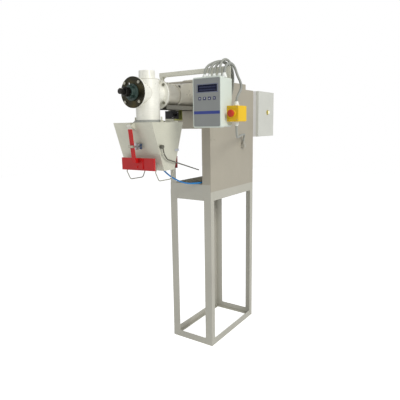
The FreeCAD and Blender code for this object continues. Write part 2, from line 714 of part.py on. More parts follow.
def spout_hanger():
    """Plate welded on the spout with a foot that bolts under the load cell."""
    plate = box(-45, 45, COLUMN_Y + 71, CELL_Y0 + 22, SPOUT_TOP, HANGER_TOP)
    plate = plate.cut(rod((0, COLUMN_Y, SPOUT_TOP - 1), (0, 0, 1), COLUMN_R + 20.85, 20))
    foot = box(-20, 20, CELL_Y0, CELL_Y0 + 18, HANGER_TOP, CELL_BOTTOM)
    return plate.fuse(foot)


def make_stop_bracket():
    """Overload stop: an angle hung from the beam with its toe under the load cell."""
    z1 = BEAM_BOTTOM
    z0 = CELL_BOTTOM - 8
    y0 = CELL_Y1 - 12
    y1 = CELL_Y1 + 25
    outline = [(y0, z0), (y1, z0), (y1, z1), (y1 - 4, z1), (y1 - 4, z0 + 4), (y0, z0 + 4)]
    toe = prism_yz(outline, -25, 25)
    tongue = box(-15, 15, y0 - 22, y0 + 1, z0, z0 + 4)
    save("stop_bracket", fuse([toe, tongue]))


# Spout: sheet funnel with sloping front and back and a closed top.
def half_depth(z):
    k = (SPOUT_HALF_TOP - SPOUT_HALF_OUT) / (SPOUT_TOP - SPOUT_BOTTOM)
    return SPOUT_HALF_OUT + k * (z - SPOUT_BOTTOM)


def make_spout():
    c = SPOUT_Y
    top = SPOUT_HALF_TOP
    out = SPOUT_HALF_OUT
    x = SPOUT_HALF_X
    t = SPOUT_T
    outer = prism_yz([(c - top, SPOUT_TOP), (c - out, SPOUT_BOTTOM), (c + out, SPOUT_BOTTOM),
                      (c + top, SPOUT_TOP)], -x, x)
    z1 = SPOUT_TOP - t
    a = half_depth(z1) - t * 1.06
    b = half_depth(SPOUT_BOTTOM - 1) - t * 1.06
    inner = prism_yz([(c - a, z1), (c - b, SPOUT_BOTTOM - 1), (c + b, SPOUT_BOTTOM - 1),
                      (c + a, z1)], -x + t, x - t)
    hole = rod((0, COLUMN_Y, SPOUT_TOP - 10), (0, 0, 1), COLUMN_R + 5, 20)
    body = outer.cut(inner).cut(hole)
    band = box(x, x + 1, c + 46, c + 76, SPOUT_BOTTOM + 87, SPOUT_BOTTOM + 97)
    stop = rod((x, FEELER_Y + 2.1, FEELER_Z - 31), (1, 0, 0), 3, 15)
    extras = seal_studs() + clamp_ears(-1) + clamp_ears(1)
    save("spout", fuse([body, band, stop, spout_hanger()] + extras))


def make_column_seal():
    """Soft ring that closes the gap between the fixed column and the weighed spout."""
    z = SPOUT_TOP
    r = COLUMN_R + 0.4
    foot = r + 14.85
    ring = turned_z([(r, z), (foot, z), (foot, z + 3), (r + 6, z + 5), (r + 2, z + 12), (r, z + 12)],
                    0, COLUMN_Y)
    save("column_seal", ring)


def seal_studs():
    out = []
    for x in (-COLUMN_R - 24.85, COLUMN_R + 24.85):
        stud = rod((x, COLUMN_Y, SPOUT_TOP), (0, 0, 1), 3.5, 26)
        nut = hexagon((x, COLUMN_Y, SPOUT_TOP + 3), (0, 0, 1), 13, 7)
        washer = rod((x, COLUMN_Y, SPOUT_TOP), (0, 0, 1), 9, 3)
        out.append(fuse([stud, nut, washer]))
    return out


# Bag clamp: the same set of pieces in front (side -1) and behind (side +1) the spout.
def mirror_point(side, out):
    return SPOUT_Y + side * out


def yz(side, pairs):
    return [(mirror_point(side, o), z) for o, z in pairs]


def clamp_ears(side):
    """Two ears welded to the sloping face, with the hinge pin through them."""
    ears = []
    for x in (-LEVER_W / 2 - 4.5, LEVER_W / 2 + 0.5):
        low = SPOUT_TOP - 32
        high = SPOUT_TOP - 2
        base = [(half_depth(low), low), (half_depth(high), high), (HINGE_OUT, HINGE_Z + 8),
                (HINGE_OUT + 7, HINGE_Z + 4), (HINGE_OUT + 7, HINGE_Z - 4), (HINGE_OUT, HINGE_Z - 8)]
        ears.append(prism_yz(yz(side, base), x, x + 4))
    pin = rod((-LEVER_W / 2 - 7, mirror_point(side, HINGE_OUT), HINGE_Z), (1, 0, 0), PIN_R,
              LEVER_W + 14)
    return ears + [pin]


def lever_out(z):
    k = (HINGE_OUT - LEVER_FOOT_OUT) / (HINGE_Z - LEVER_FOOT_Z)
    return LEVER_FOOT_OUT + k * (z - LEVER_FOOT_Z)


def make_clamp_lever(name, side):
    """Flat lever with a pin eye on top, a slot for the cylinder rod and a foot for the jaw."""
    t = LEVER_T / 2
    z0 = LEVER_FOOT_Z - 12
    strap = prism_yz(yz(side, [(lever_out(z0) - t, z0), (lever_out(z0) + t, z0),
                               (HINGE_OUT + t, HINGE_Z), (HINGE_OUT - t, HINGE_Z)]),
                     -LEVER_W / 2, LEVER_W / 2)
    eye = rod((-LEVER_W / 2, mirror_point(side, HINGE_OUT), HINGE_Z), (1, 0, 0), 7.5, LEVER_W)
    foot = [(lever_out(z0 + 3) - t + 1, z0), (lever_out(z0 + 22) - t + 1, z0 + 22),
            (JAW_OUT + JAW_T, z0 + 22), (JAW_OUT + JAW_T, z0)]
    block = prism_yz(yz(side, foot), -9, 9)
    y_a = mirror_point(side, JAW_OUT + JAW_T)
    y_b = mirror_point(side, JAW_OUT + JAW_T + 4)
    mount = box(-34, 34, min(y_a, y_b), max(y_a, y_b), JAW_BOTTOM + 7, JAW_TOP)
    lever = fuse([strap, eye, block, mount] + jaw_bolts(side))
    lever = lever.cut(rod((-LEVER_W, mirror_point(side, HINGE_OUT), HINGE_Z), (1, 0, 0),
                          PIN_R + RUN_CLEARANCE, 2 * LEVER_W))
    y0 = mirror_point(side, CYL_LEN_OUT + 4.5) - 25
    slot = box(-5.5, 5.5, y0, y0 + 60, CYL_Z - 8, CYL_Z + 8)
    slot = slot.makeFillet(5.4, [e for e in slot.Edges if abs(e.BoundBox.YLength) > 50])
    save(name, lever.cut(slot))


def make_clamp_jaw(name, side):
    """Folded jaw plate whose ends turn in towards the spout."""
    a = JAW_OUT
    b = JAW_OUT + JAW_T
    h = JAW_HALF
    lip = a - JAW_FOLD
    w = h - JAW_T
    pts = [(-h, lip), (-w, lip), (-w, a), (w, a), (w, lip), (h, lip), (h, b), (-h, b)]
    plate = prism_xy([(x, mirror_point(side, o)) for x, o in pts], JAW_BOTTOM, JAW_TOP)
    save(name, plate)


def jaw_bolts(side):
    y = mirror_point(side, JAW_OUT + JAW_T + 4)
    return [hexagon((x, y, z), (0, side, 0), 10, 4) 
            for x, z in ((-22, JAW_TOP - 8), (22, JAW_TOP - 8), (0, JAW_BOTTOM + 17))]


def make_clamp_cylinder(name, side):
    """Short-stroke air cylinder standing on the sloping face, with two side ports."""
    x = 0.0
    y_in = mirror_point(side, half_depth(CYL_Z) - 12)
    length = CYL_LEN_OUT - half_depth(CYL_Z) + 12
    body = rod((x, y_in, CYL_Z), (0, side, 0), CYL_R, length)
    reach = CYL_R + 5
    ports = []
    for dz in (-6.5, 6.5):
        y = mirror_point(side, CYL_LEN_OUT - 8)
        ports.append(rod((0, y, CYL_Z + dz), (-side, 0, 0), 5.6, reach + 4))
        ports[-1] = ports[-1].cut(rod((-side * reach, y, CYL_Z + dz), (-side, 0, 0), HOSE_R, 5))
    body = fuse([body] + ports)
    solid = prism_yz([(SPOUT_Y - SPOUT_HALF_TOP, SPOUT_TOP), (SPOUT_Y - SPOUT_HALF_OUT, SPOUT_BOTTOM),
                      (SPOUT_Y + SPOUT_HALF_OUT, SPOUT_BOTTOM), (SPOUT_Y + SPOUT_HALF_TOP, SPOUT_TOP)],
                     -80, 80)
    body = body.cut(solid)
    bore_y = mirror_point(side, CYL_LEN_OUT - 16)
    body = body.cut(rod((x, bore_y, CYL_Z), (0, side, 0), ROD_R + RUN_CLEARANCE, 30))
    save(name, body)


def make_clamp_rod(name, side):
    """Piston rod with the round cross bar that pulls the lever in."""
    y_in = mirror_point(side, CYL_LEN_OUT - 3.5)
    bar_out = lever_out(CYL_Z) + (LEVER_T / 2 + CROSS_R + 0.4) / 0.992
    shaft = rod((0, y_in, CYL_Z), (0, side, 0), ROD_R, bar_out - CYL_LEN_OUT + 3.5)
    cross = rod((-14, mirror_point(side, bar_out), CYL_Z), (1, 0, 0), CROSS_R, 28)
    save(name, fuse([shaft, cross]))


def make_clamp():
    for side, tag in ((-1, "front"), (1, "rear")):
        make_clamp_lever(tag + "_clamp_lever", side)
        make_clamp_jaw(tag + "_clamp_jaw", side)
        make_clamp_cylinder(tag + "_cylinder", side)
        make_clamp_rod(tag + "_cylinder_rod", side)


def bend_piece(corner, u, w, cut, radius):
    """Quarter-torus style bend at a corner: u and w point back and on along the runs."""
    half = 0.5 * (math.pi - u.getAngle(w))
    bend = cut / math.tan(half)
    centre = corner + (u + w).normalize() * (bend / math.cos(half))
    start = corner + u * cut
    ring = Part.Face(Part.Wire(Part.makeCircle(radius, start, u)))
    return ring.revolve(centre, w.cross(u), math.degrees(2 * half))


def tube_run(points, radius, share=0.45):
    """Tube along straight runs joined by tangent arcs."""
    pts = [V(*p) for p in points]
    pieces = []
    last = pts[0]
    for before, here, after in zip(pts, pts[1:], pts[2:]):
        u = (before - here).normalize()
        w = (after - here).normalize()
        if math.pi - u.getAngle(w) < STRAIGHT:
            continue
        cut = share * min((here - before).Length, (after - here).Length)
        start = here + u * cut
        pieces.append(Part.makeCylinder(radius, (start - last).Length, last, u * -1))
        pieces.append(bend_piece(here, u, w, cut, radius))
        last = here + w * cut
    tail = pts[-1] - last
    pieces.append(Part.makeCylinder(radius, tail.Length, last, tail.normalize()))
    return join_ends(pieces)


def join_ends(pieces):
    """One solid from pieces that meet at their end discs."""
    return pieces[0].multiFuse(pieces[1:])


def make_wires():
    """Bent wire that keeps the mouth of the bag open, one at each end of the outlet."""
    out = []
    top = SPOUT_BOTTOM + 37
    low = SPOUT_BOTTOM - 49
    foot = half_depth(top) + WIRE_R
    knee = SPOUT_HALF_OUT + 17.5
    wide = SPOUT_HALF_OUT + 29.5
    narrow = SPOUT_HALF_OUT + 5.5
    for x in (-WIRE_X, WIRE_X):
        c = SPOUT_Y
        pts = []
        for o, z in ((foot, top), (knee, SPOUT_BOTTOM + 9), (wide, SPOUT_BOTTOM - 7), (narrow, low)):
            pts.append((x, c + o, z))
        pts = [(x, 2 * c - y, z) for x, y, z in pts] + pts[::-1]
        out.append(tube_run(pts, WIRE_R, 0.2))
    save("bag_wires", Part.makeCompound(out))


FEELER_Y = SPOUT_Y - 61.5
FEELER_Z = SPOUT_BOTTOM + 113.0


def make_feeler():
    """Trigger lever for the clamp: a bent rod that turns on a small switch head."""
    x = SPOUT_HALF_X
    head = rod((x, FEELER_Y, FEELER_Z), (1, 0, 0), 9, 8)
    head = head.fuse(rod((x + 8, FEELER_Y, FEELER_Z), (1, 0, 0), 3, 8))
    save("feeler_head", head)
    hub = pipe((x + 8.3, FEELER_Y, FEELER_Z), (1, 0, 0), 8, 3 + RUN_CLEARANCE, 8)
    r = x + 12.3
    bends = ((3, -5.5), (9, -32), (31, -60), (161, -96.5), (291, -133))
    wire = tube_run([(r, FEELER_Y + u, FEELER_Z + w) for u, w in bends], 3, 0.3)
    save("feeler_rod", hub.fuse(wire))


# Arm over the tube, with the controller hung from its right end.
def make_arm():
    s = ARM_SIZE
    bar = box(-10, ARM_RIGHT, ARM_Y, ARM_Y + s, ARM_TOP - s, ARM_TOP)
    bar = bar.cut(box(-11, ARM_RIGHT + 1, ARM_Y + 2, ARM_Y + s - 2, ARM_TOP - s + 2, ARM_TOP - 2))
    bar = bar.fuse(box(-10, -8, ARM_Y, ARM_Y + s, ARM_TOP - s, ARM_TOP))
    post = box(-8, 8, ARM_Y, ARM_Y + 16, AXIS_Z + TUBE_R - 6, ARM_TOP - s)
    gusset = prism_xz([(8, ARM_TOP - s), (26, ARM_TOP - s), (8, ARM_TOP - s - 12)], ARM_Y + 5, ARM_Y + 11)
    saddle = rod((0, ARM_Y - 8, AXIS_Z), (0, 1, 0), TUBE_R + 5, 56)
    saddle = saddle.common(box(-26, 26, ARM_Y - 72, ARM_Y + 128, AXIS_Z + 20, AXIS_Z + TUBE_R + 29))
    arm = fuse([bar, post, gusset, saddle])
    arm = arm.cut(rod((0, ARM_Y - 72, AXIS_Z), (0, 1, 0), TUBE_R, 200))
    plate = box(CTRL_X0 + 28, CTRL_X1 - 11, CTRL_Y1, ARM_Y, CTRL_Z0 + 40, ARM_TOP)
    top = AXIS_Z + TUBE_R + 1
    heads = [hexagon((x, ARM_Y + 34, top), (0, 0, 1), 13, 8) for x in (-13, 13)]
    save("arm", fuse([arm, plate] + heads))


def make_controller():
    yf = CTRL_Y0 + CTRL_FRONT_T
    back = rounded_xz(CTRL_X0 + 3, CTRL_X1 - 3, CTRL_Z0 + 3, CTRL_Z1 - 3, yf, CTRL_Y1, 8)
    for x, r in zip(GLAND_X, (CABLE_R, CABLE_R, CABLE_R, CABLE_R, CONDUIT_R)):
        back = back.cut(rod((x, GLAND_Y, CTRL_Z1 - 12), (0, 0, 1), r + 1.5, 12))
    hollow = box(CTRL_X0 + 7, CTRL_X1 - 7, yf - 1, CTRL_Y1 - 4, CTRL_Z0 + 7, CTRL_Z1 - 7)
    save("ctrl_case", back.cut(hollow))
    front = rounded_xz(CTRL_X0, CTRL_X1, CTRL_Z0, CTRL_Z1, CTRL_Y0, yf, 10)
    edges = [e for e in front.Edges if e.BoundBox.YMax < CTRL_Y0 + 0.01]
    front = front.makeFillet(4, edges)
    well = box(CTRL_X0 + 6, CTRL_X1 - 6, CTRL_Y0 + 6, yf + 1, CTRL_Z0 + 6, CTRL_Z1 - 6)
    front = front.cut(well)
    front = front.cut(box(WINDOW_X0, WINDOW_X1, CTRL_Y0 - 1, CTRL_Y0 + 7, WINDOW_Z0, WINDOW_Z1))
    save("ctrl_front", front)


def make_ctrl_face():
    y = CTRL_Y0
    sheet = rounded_xz(CTRL_X0 + 7, CTRL_X1 - 5, CTRL_Z0 + 6, CTRL_Z1 - 6, y - 0.8, y, 6)
    sheet = sheet.cut(box(WINDOW_X0, WINDOW_X1, y - 2, y + 1, WINDOW_Z0, WINDOW_Z1))
    pads = [box(x - 6, x + 6, y - 1.6, y - 0.8, KEY_Z - 6, KEY_Z + 6) for x in KEY_X]
    save("ctrl_membrane", fuse([sheet] + pads))
    g = 0.3
    screen = box(WINDOW_X0 + g, WINDOW_X1 - g, y + 0.5, y + 6, WINDOW_Z0 + g, WINDOW_Z1 - g)
    board = box(WINDOW_X0 - 4, WINDOW_X1 + 4, y + 6, y + 9, WINDOW_Z0 - 4, WINDOW_Z1 + 4)
    save("ctrl_display", fuse([screen, board]))


def gland(p, axis, bore, wall=3.0):
    """Cable gland: hexagon on the wall, domed nut above it, short thread into the wall."""
    a = V(*axis)
    b = V(*p)
    r = bore + 1.5
    shape = hexagon(p, axis, 2 * bore + 9, 6)
    dome = Part.makeCone(bore + 4, bore + 2, 9, b + a * 6, a)
    stub = rod(p, (-a.x, -a.y, -a.z), r, wall)
    shape = fuse([shape, dome, rod(tuple(b + a * 15), axis, r, 4), stub])
    return shape.cut(rod(tuple(b - a * 4), axis, bore, 30))


GLAND_BASE = CTRL_Z1 - 3
STOP_X = CTRL_X1 - 3 + (STOP_W + 3) / 2
ELBOW_X = HALF_W + 12.0
ELBOW_Y = 354.0
ELBOW_Z = BOX_BOTTOM - 98.0


def make_cable_glands():
    out = [gland((x, GLAND_Y, GLAND_BASE), (0, 0, 1), CABLE_R) for x in GLAND_X[:4]]
    out.append(gland((GLAND_X[4], GLAND_Y, GLAND_BASE), (0, 0, 1), CONDUIT_R))
    out.append(gland((STOP_X, STOP_CABLE_Y, STOP_Z1), (0, 0, 1), CONDUIT_R))
    out.append(gland((STOP_X, STOP_CABLE_Y, STOP_Z0), (0, 0, -1), STOP_CABLE_R))
    out += [gland((CABLE_ENTRY_X, 0, z), (0, -1, 0), CABLE_R, SHEET) for z in CABLE_ENTRY_Z]
    out.append(elbow_gland(ELBOW_X, ELBOW_Y, ELBOW_Z))
    save("cable_glands", Part.makeCompound(out))


def elbow_gland(x, y, z):
    """Block on the right panel with a gland that takes the cable from above."""
    block = box(HALF_W, x + 11, y - 11, y + 11, z - 18, z)
    shape = block.fuse(gland((x, y, z), (0, 0, 1), STOP_CABLE_R))
    return shape.cut(rod((x, y, z - 4), (0, 0, 1), STOP_CABLE_R, 5))


def make_stop_box():
    x0 = CTRL_X1 - 3
    x1 = x0 + STOP_W + 3
    y0 = STOP_Y0
    y1 = STOP_Y0 + STOP_D
    base = rounded_xz(x0, x1, STOP_Z0, STOP_Z1, y0 + 16, y1, 5)
    base = base.cut(box(x0 + 4, x1 - 4, y0 + 15, y1 - 4, STOP_Z0 + 4, STOP_Z1 - 4))
    xc = (x0 + x1) / 2
    base = base.cut(rod((xc, STOP_CABLE_Y, STOP_Z1 - 6), (0, 0, 1), CONDUIT_R + 1.5, 8))
    base = base.cut(rod((xc, STOP_CABLE_Y, STOP_Z0 - 1), (0, 0, 1), STOP_CABLE_R + 1.5, 8))
    save("stop_box", base)
    lid = rounded_xz(x0, x1, STOP_Z0, STOP_Z1, y0, y0 + 16, 5)
    lid = lid.cut(rod((xc, y0 - 1, STOP_BUTTON_Z), (0, 1, 0), 11.2, 20))
    lid = lid.cut(box(x0 + 4, x1 - 4, y0 + 4, y0 + 17, STOP_Z0 + 4, STOP_Z1 - 4))
    collar = turned_y([(8.1, y0 - 4), (14, y0 - 4), (15, y0 - 2), (15, y0), (11.2, y0), (11.2, y0 + 14),
                       (8.1, y0 + 14)], xc, STOP_BUTTON_Z)
    save("stop_lid", fuse([lid, collar]))
    head = turned_y([(0, y0 - 24), (9, y0 - 24), (14, y0 - 21.5), (STOP_R, y0 - 17),
                     (STOP_R - 0.5, y0 - 13), (11, y0 - 11), (8, y0 - 10), (8, y0 + 12), (0, y0 + 12)],
                    xc, STOP_BUTTON_Z)
    save("stop_button", head)


# Cords. Each route is a list of points read off the picture, in order along the cord: four
# controller cables, the conduit to the stop box, its cable and the two air hoses.
CABLE_ROUTES = (
    ((290, -281, 1467), (290, -281, 1495), (296, -266, 1519), (306, -241, 1532.5), (317, -215, 1543),
     (328, -187.5, 1546.5), (338, -163.5, 1531.5), (342.5, -153, 1506), (338, -149, 1478),
     (321, -139, 1454), (287, -131, 1443.5), (240, -117, 1440), (184, -91, 1440), (136, -62, 1440),
     (110, -36, 1440), (110, -4, 1440)),
    ((316, -281, 1467), (316, -281, 1495), (320.5, -266, 1520.5), (328.5, -241, 1535.5),
     (337, -213, 1540.5), (346, -185, 1533), (351.5, -167.5, 1512.5), (355, -159, 1488),
     (355, -151, 1454), (338, -143, 1425), (304, -134, 1411), (262, -124, 1407), (219, -110, 1407),
     (178, -89, 1408), (136, -62, 1408), (110, -36, 1408), (110, -4, 1408)),
    ((341, -281, 1467), (341, -281, 1494.5), (344, -268, 1519), (349, -245, 1534.5),
     (355.5, -218, 1538), (361, -193, 1526.5), (364, -179.5, 1502.5), (367, -173, 1480),
     (365, -166, 1444), (350, -155, 1410), (318, -145, 1388), (278, -132, 1378), (233, -114, 1375),
     (184, -92, 1375), (137, -63, 1376), (110, -36, 1376), (110, -4, 1376)),
    ((368, -281, 1467), (368, -281, 1494), (369, -275, 1521.5), (371.5, -255.5, 1541),
     (375, -228, 1544.5), (378.5, -204, 1530.5), (380, -192.5, 1505), (381, -185, 1480),
     (377, -179, 1440), (364, -170, 1397), (333, -158, 1362), (290, -143, 1346), (240, -122, 1342),
     (186, -94, 1343), (138, -63, 1344), (110, -36, 1344), (110, -4, 1344)),
)
CONDUIT_ROUTE = ((391, -281, 1467), (391, -281, 1491), (392.7, -268, 1514.5), (395.5, -244, 1526.5),
                 (398.5, -217.5, 1522), (401, -199, 1502), (405, -189, 1476), (416, -184, 1452),
                 (426, -190, 1429), (430, -206, 1409.5), (430, -226, 1393), (428.5, -240, 1372),
                 (428.5, -240, 1347))
STOP_CABLE_ROUTE = ((428.5, -240, 1271), (428.5, -240, 1244.5), (424.1, -229.9, 1219.8),
                    (416.6, -212.7, 1207.9), (407, -191.4, 1206), (391, -154, 1206),
                    (368, -105, 1206.2), (342, -52, 1206.5), (314, 2.5, 1206.8), (286.8, 58, 1207),
                    (261.2, 113.5, 1207.2), (237.5, 167, 1207.4), (216.5, 216, 1207.5),
                    (199.5, 261, 1207.6), (185, 299, 1207), (166, 330, 1202), (155, 346, 1189.5),
                    (149.5, 354, 1172), (149.5, 354, 1152))
HOSE_ROUTES = (
    ((-20, -239, 1162.5), (-44, -239, 1162.5), (-64, -228, 1148), (-72, -212, 1122),
     (-68, -200, 1092), (-54, -194, 1062), (-33, -190, 1036), (-9, -182, 1012), (8, -162, 992),
     (20, -132, 975), (31, -98, 961), (43, -62, 953), (56, -22, 950), (76, 20, 951), (99, 62, 955),
     (117, 98, 960), (124, 124, 961), (124, 144, 961)),
    ((-20, -239, 1175.5), (-46, -239, 1175.5), (-70, -226, 1162), (-82, -206, 1134),
     (-80, -192, 1100), (-66, -186, 1067), (-43, -182, 1036), (-16, -174, 1011), (0, -154, 991),
     (11, -126, 975), (21, -93, 961), (33, -58, 953), (45, -18, 950), (64, 24, 951), (86, 66, 955),
     (103, 100, 960), (110, 124, 961), (110, 144, 961)),
)


def cord_nodes():
    """Name, points and radius of every cord."""
    out = []
    for i in range(4):
        out.append(("cable_%d" % (i + 1), CABLE_ROUTES[i], CABLE_R))
    out.append(("stop_conduit", CONDUIT_ROUTE, CONDUIT_R))
    out.append(("stop_cable", STOP_CABLE_ROUTE, STOP_CABLE_R))
    out.append(("hose_1", HOSE_ROUTES[0], HOSE_R))
    out.append(("hose_2", HOSE_ROUTES[1], HOSE_R))
    return out


def tightest_bend(points, share=0.45):
    """Smallest bend radius along a route, from its runs and turns."""
    pts = [V(*p) for p in points]
    out = []
    for before, here, after in zip(pts, pts[1:], pts[2:]):
        turn = (here - before).getAngle(after - here)
        shorter = min((here - before).Length, (after - here).Length)
        out.append(share * shorter / math.tan(turn / 2))
    return min(out)


def make_cords():
    for name, points, radius in cord_nodes():
        print(name, "tightest bend", round(tightest_bend(points) / (2 * radius), 2), "diameters")
        save(name, tube_run(points, radius))


# Cabinet on the back panel, with its door on the right side.
def make_cabinet():
    t = 2.0
    shell = rounded_xz(CAB_X0, CAB_X1 - 18, CAB_Z0, CAB_Z1, CAB_Y0, CAB_Y1, 3)
    inner = box(CAB_X0 + t, CAB_X1, CAB_Y0 + t, CAB_Y1 - t, CAB_Z0 + t, CAB_Z1 - t)
    save("cabinet_body", shell.cut(inner))
    x0 = CAB_X1 - 18
    lid = box(x0, CAB_X1, CAB_Y0, CAB_Y1, CAB_Z0, CAB_Z1)
    lid = lid.cut(box(x0 - 1, CAB_X1 - t, CAB_Y0 + t, CAB_Y1 - t, CAB_Z0 + t, CAB_Z1 - t))
    lid = lid.cut(rod((CAB_X1 - 5, LAMP_Y, LAMP_Z), (1, 0, 0), 11.1, 10))
    lamp = turned_x([(0, CAB_X1 - 12), (11, CAB_X1 - 12), (11, CAB_X1), (15, CAB_X1), (15, CAB_X1 + 3),
                     (11.5, CAB_X1 + 5), (10, CAB_X1 + 11), (6, CAB_X1 + 14), (0, CAB_X1 + 15)],
                    LAMP_Y, LAMP_Z)
    save("cabinet_lamp", lamp)
    out = []
    for z in (CAB_Z0 + 18, CAB_Z1 - 18):
        out.append(rod((CAB_X1 - 9, CAB_Y0, z), (0, -1, 0), 3.5, SCREW_HEAD))
        out.append(rod((CAB_X1 - 9, CAB_Y1, z), (0, 1, 0), 3.5, SCREW_HEAD))
    save("cabinet_lid", fuse([lid] + out))


VALVE_X = HALF_W - 27.5
VALVE_Y = 152.0
VALVE_Z = BASE_TOP + 6.0


def make_valve():
    """Solenoid valve for the clamp, on the inner side of the right panel."""
    x1 = HALF_W - SHEET
    y0 = VALVE_Y
    body = box(x1 - 34, x1, y0, y0 + 72, VALVE_Z, VALVE_Z + 26)
    coil = box(x1 - 30, x1 - 4, y0 + 40, y0 + 72, VALVE_Z + 26, VALVE_Z + 56)
    ports = []
    for i in (0, 1):
        p = rod((VALVE_X + 14 * i, y0 - 12, VALVE_Z + 13), (0, 1, 0), 5.8, 14)
        ports.append(p.cut(rod((VALVE_X + 14 * i, y0 - 13, VALVE_Z + 13), (0, 1, 0), HOSE_R, 5)))
    save("air_valve", fuse([body, coil] + ports))


def main():
    os.makedirs("parts", exist_ok=True)
    make_stand()
    make_upper_frame()
    make_right_panel()
    make_left_panel()
    make_front_panel()
    make_back_panel()
    make_top_cover()
    make_box_floor()
    make_feed_trough()
    make_column()
    make_vent_spigot()
    make_bearing_plate()
    make_bearing_housing()
    make_shaft_collar()
    make_auger()
    make_auger_tube()
    make_flange_bolts()
    make_coupling()
    make_gearbox()
    make_drive_pedestal()
    make_motor()
    make_motor_fan()
    make_fan_cover()
    make_support_beam()
    make_load_cell()
    make_stop_bracket()
    make_spout()
    make_column_seal()
    make_clamp()
    make_wires()
    make_feeler()
    make_arm()
    make_controller()
    make_ctrl_face()
    make_cable_glands()
    make_stop_box()
    make_cords()
    make_cabinet()
    make_valve()


main()
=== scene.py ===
# %% [markdown]
# # An auger powder filler
# A screw feeder on a tall welded stand pushes powder along a tube, drops it down a column and
# weighs it in the spout that hangs below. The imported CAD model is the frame: each of its
# nodes is already in place, so this lesson gives them their finishes, lays the cords and
# adds the small things that the CAD leaves out.

# %% Load the frame
import math

import bmesh
import bpy
from mathutils import Matrix, Vector


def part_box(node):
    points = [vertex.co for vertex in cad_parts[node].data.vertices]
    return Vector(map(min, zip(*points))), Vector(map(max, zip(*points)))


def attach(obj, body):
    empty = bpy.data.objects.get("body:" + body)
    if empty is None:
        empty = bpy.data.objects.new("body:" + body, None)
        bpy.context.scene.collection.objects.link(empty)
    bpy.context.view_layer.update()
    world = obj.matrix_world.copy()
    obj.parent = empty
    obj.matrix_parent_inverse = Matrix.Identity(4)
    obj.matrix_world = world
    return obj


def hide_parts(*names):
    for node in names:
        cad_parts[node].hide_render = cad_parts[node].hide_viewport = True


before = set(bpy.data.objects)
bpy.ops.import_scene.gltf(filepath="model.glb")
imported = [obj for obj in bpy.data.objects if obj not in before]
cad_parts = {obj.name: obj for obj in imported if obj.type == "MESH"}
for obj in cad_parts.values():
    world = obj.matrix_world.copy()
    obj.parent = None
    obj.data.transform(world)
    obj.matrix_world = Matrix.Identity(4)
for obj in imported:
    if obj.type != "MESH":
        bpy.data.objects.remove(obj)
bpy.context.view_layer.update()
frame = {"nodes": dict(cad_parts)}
nodes = frame["nodes"]

# %% [markdown]
# ## Places
# The drawing measures from the stand: X from its centre plane, Y from its front face and Z
# from the floor, in millimetres. The frame is in metres, with its origin under the middle of
# the whole machine, so one small function carries a drawn place into the frame. Lines and
# sizes that several pieces share, such as the auger's axis, are named here once.

# %% From the drawing to the frame
stand_low, stand_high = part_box("stand_frame")
CENTRE_X = (stand_low[0] + stand_high[0]) / 2
FRONT_Y = stand_low[1]
MM = 0.001
STAND_HALF = 137.5
STAND_DEPTH = 500
AXIS_Z = 1413.0
TUBE_R = 50.8
COLUMN_Y = -333.0
COLUMN_R = 57.15
SPOUT_Y = -331.5
MACHINE = "machine"


def place(x, y, z):
    """A drawn place in millimetres, as a place in the frame."""
    return Vector((CENTRE_X + x * MM, FRONT_Y + y * MM, z * MM))


print("middle of the stand's front edge", tuple(place(0, 0, 0)))

# %% [markdown]
# ## The camera
# The picture was taken from the operator's right, a little above the controller's foot, with
# a normal lens. A camera that only aims at the machine would be simpler to set, but three
# angles and a lens can put the stand's edges just where the picture has them.

# %% Camera
TURN = math.radians(33.95)
DIP = math.radians(10.07)
ROLL = math.radians(0.85)
LENS = 37.48
SENSOR = 36.0
FARTHEST = 60.0
CAMERA_AT = (1333.0, -1881.0, 1258.0)


def add_object(name, data):
    """New object in the scene for a camera, a lamp, a curve or a mesh."""
    thing = bpy.data.objects.new(name, data)
    bpy.context.scene.collection.objects.link(thing)
    return thing


camera_data = bpy.data.cameras.new("camera")
camera_data.lens = LENS
camera_data.sensor_width = SENSOR
camera_data.clip_end = FARTHEST
camera = add_object("camera", camera_data)
turn = Matrix.Rotation(TURN, 4, "Z") @ Matrix.Rotation(math.pi / 2 - DIP, 4, "X")
camera.matrix_world = Matrix.Translation(place(*CAMERA_AT)) @ turn @ Matrix.Rotation(-ROLL, 4, "Z")
bpy.context.scene.camera = camera
print("camera lens", LENS, "mm")

# %% [markdown]
# ## Writing node trees as sums
# A finish is easier to read as a sum than as boxes and wires. `Value` wraps one output
# socket, and each of its operators adds a Math node, so `1 - mask` is a node too. `add`
# adds any other node: its kind, its settings, and then the numbers or sockets that feed it.
# Noise stays mostly between 0.3 and 0.7, so `spread` stretches it over a wanted range.

# %% Node helpers
NOISE_LOW = 0.3
NOISE_HIGH = 0.7


class Value:
    """One output socket that Python's operators work on."""

    def __init__(self, nodes, socket):
        self.nodes = nodes
        self.socket = socket

    def maths(self, operation, a, b):
        return self.nodes.add("ShaderNodeMath", {"operation": operation}, a, b)

    def __sub__(self, other):
        return self.maths("SUBTRACT", self, other)

    def __rsub__(self, other):
        return self.maths("SUBTRACT", other, self)

    def __mul__(self, other):
        return self.maths("MULTIPLY", self, other)

    __rmul__ = __mul__

    def __mod__(self, other):
        return self.maths("MODULO", self, other)

    def __rmod__(self, other):
        return self.maths("MODULO", other, self)

    def __gt__(self, other):
        return self.maths("GREATER_THAN", self, other)


class Nodes:
    """A node tree that grows by one method."""

    def __init__(self, tree):
        self.tree = tree

    def add(self, kind, settings=None, *values, out=0, **named):
        node = self.tree.nodes.new(kind)
        for key, setting in (settings or {}).items():
            setattr(node, key, setting)
        for index, value in enumerate(values):
            self.feed(node.inputs[index], value)
        for key, value in named.items():
            self.feed(node.inputs[key.replace("_", " ")], value)
        return Value(self, node.outputs[out])

    def feed(self, socket, value):
        if isinstance(value, Value):
            self.tree.links.new(value.socket, socket)
        elif value is not None:
            socket.default_value = value


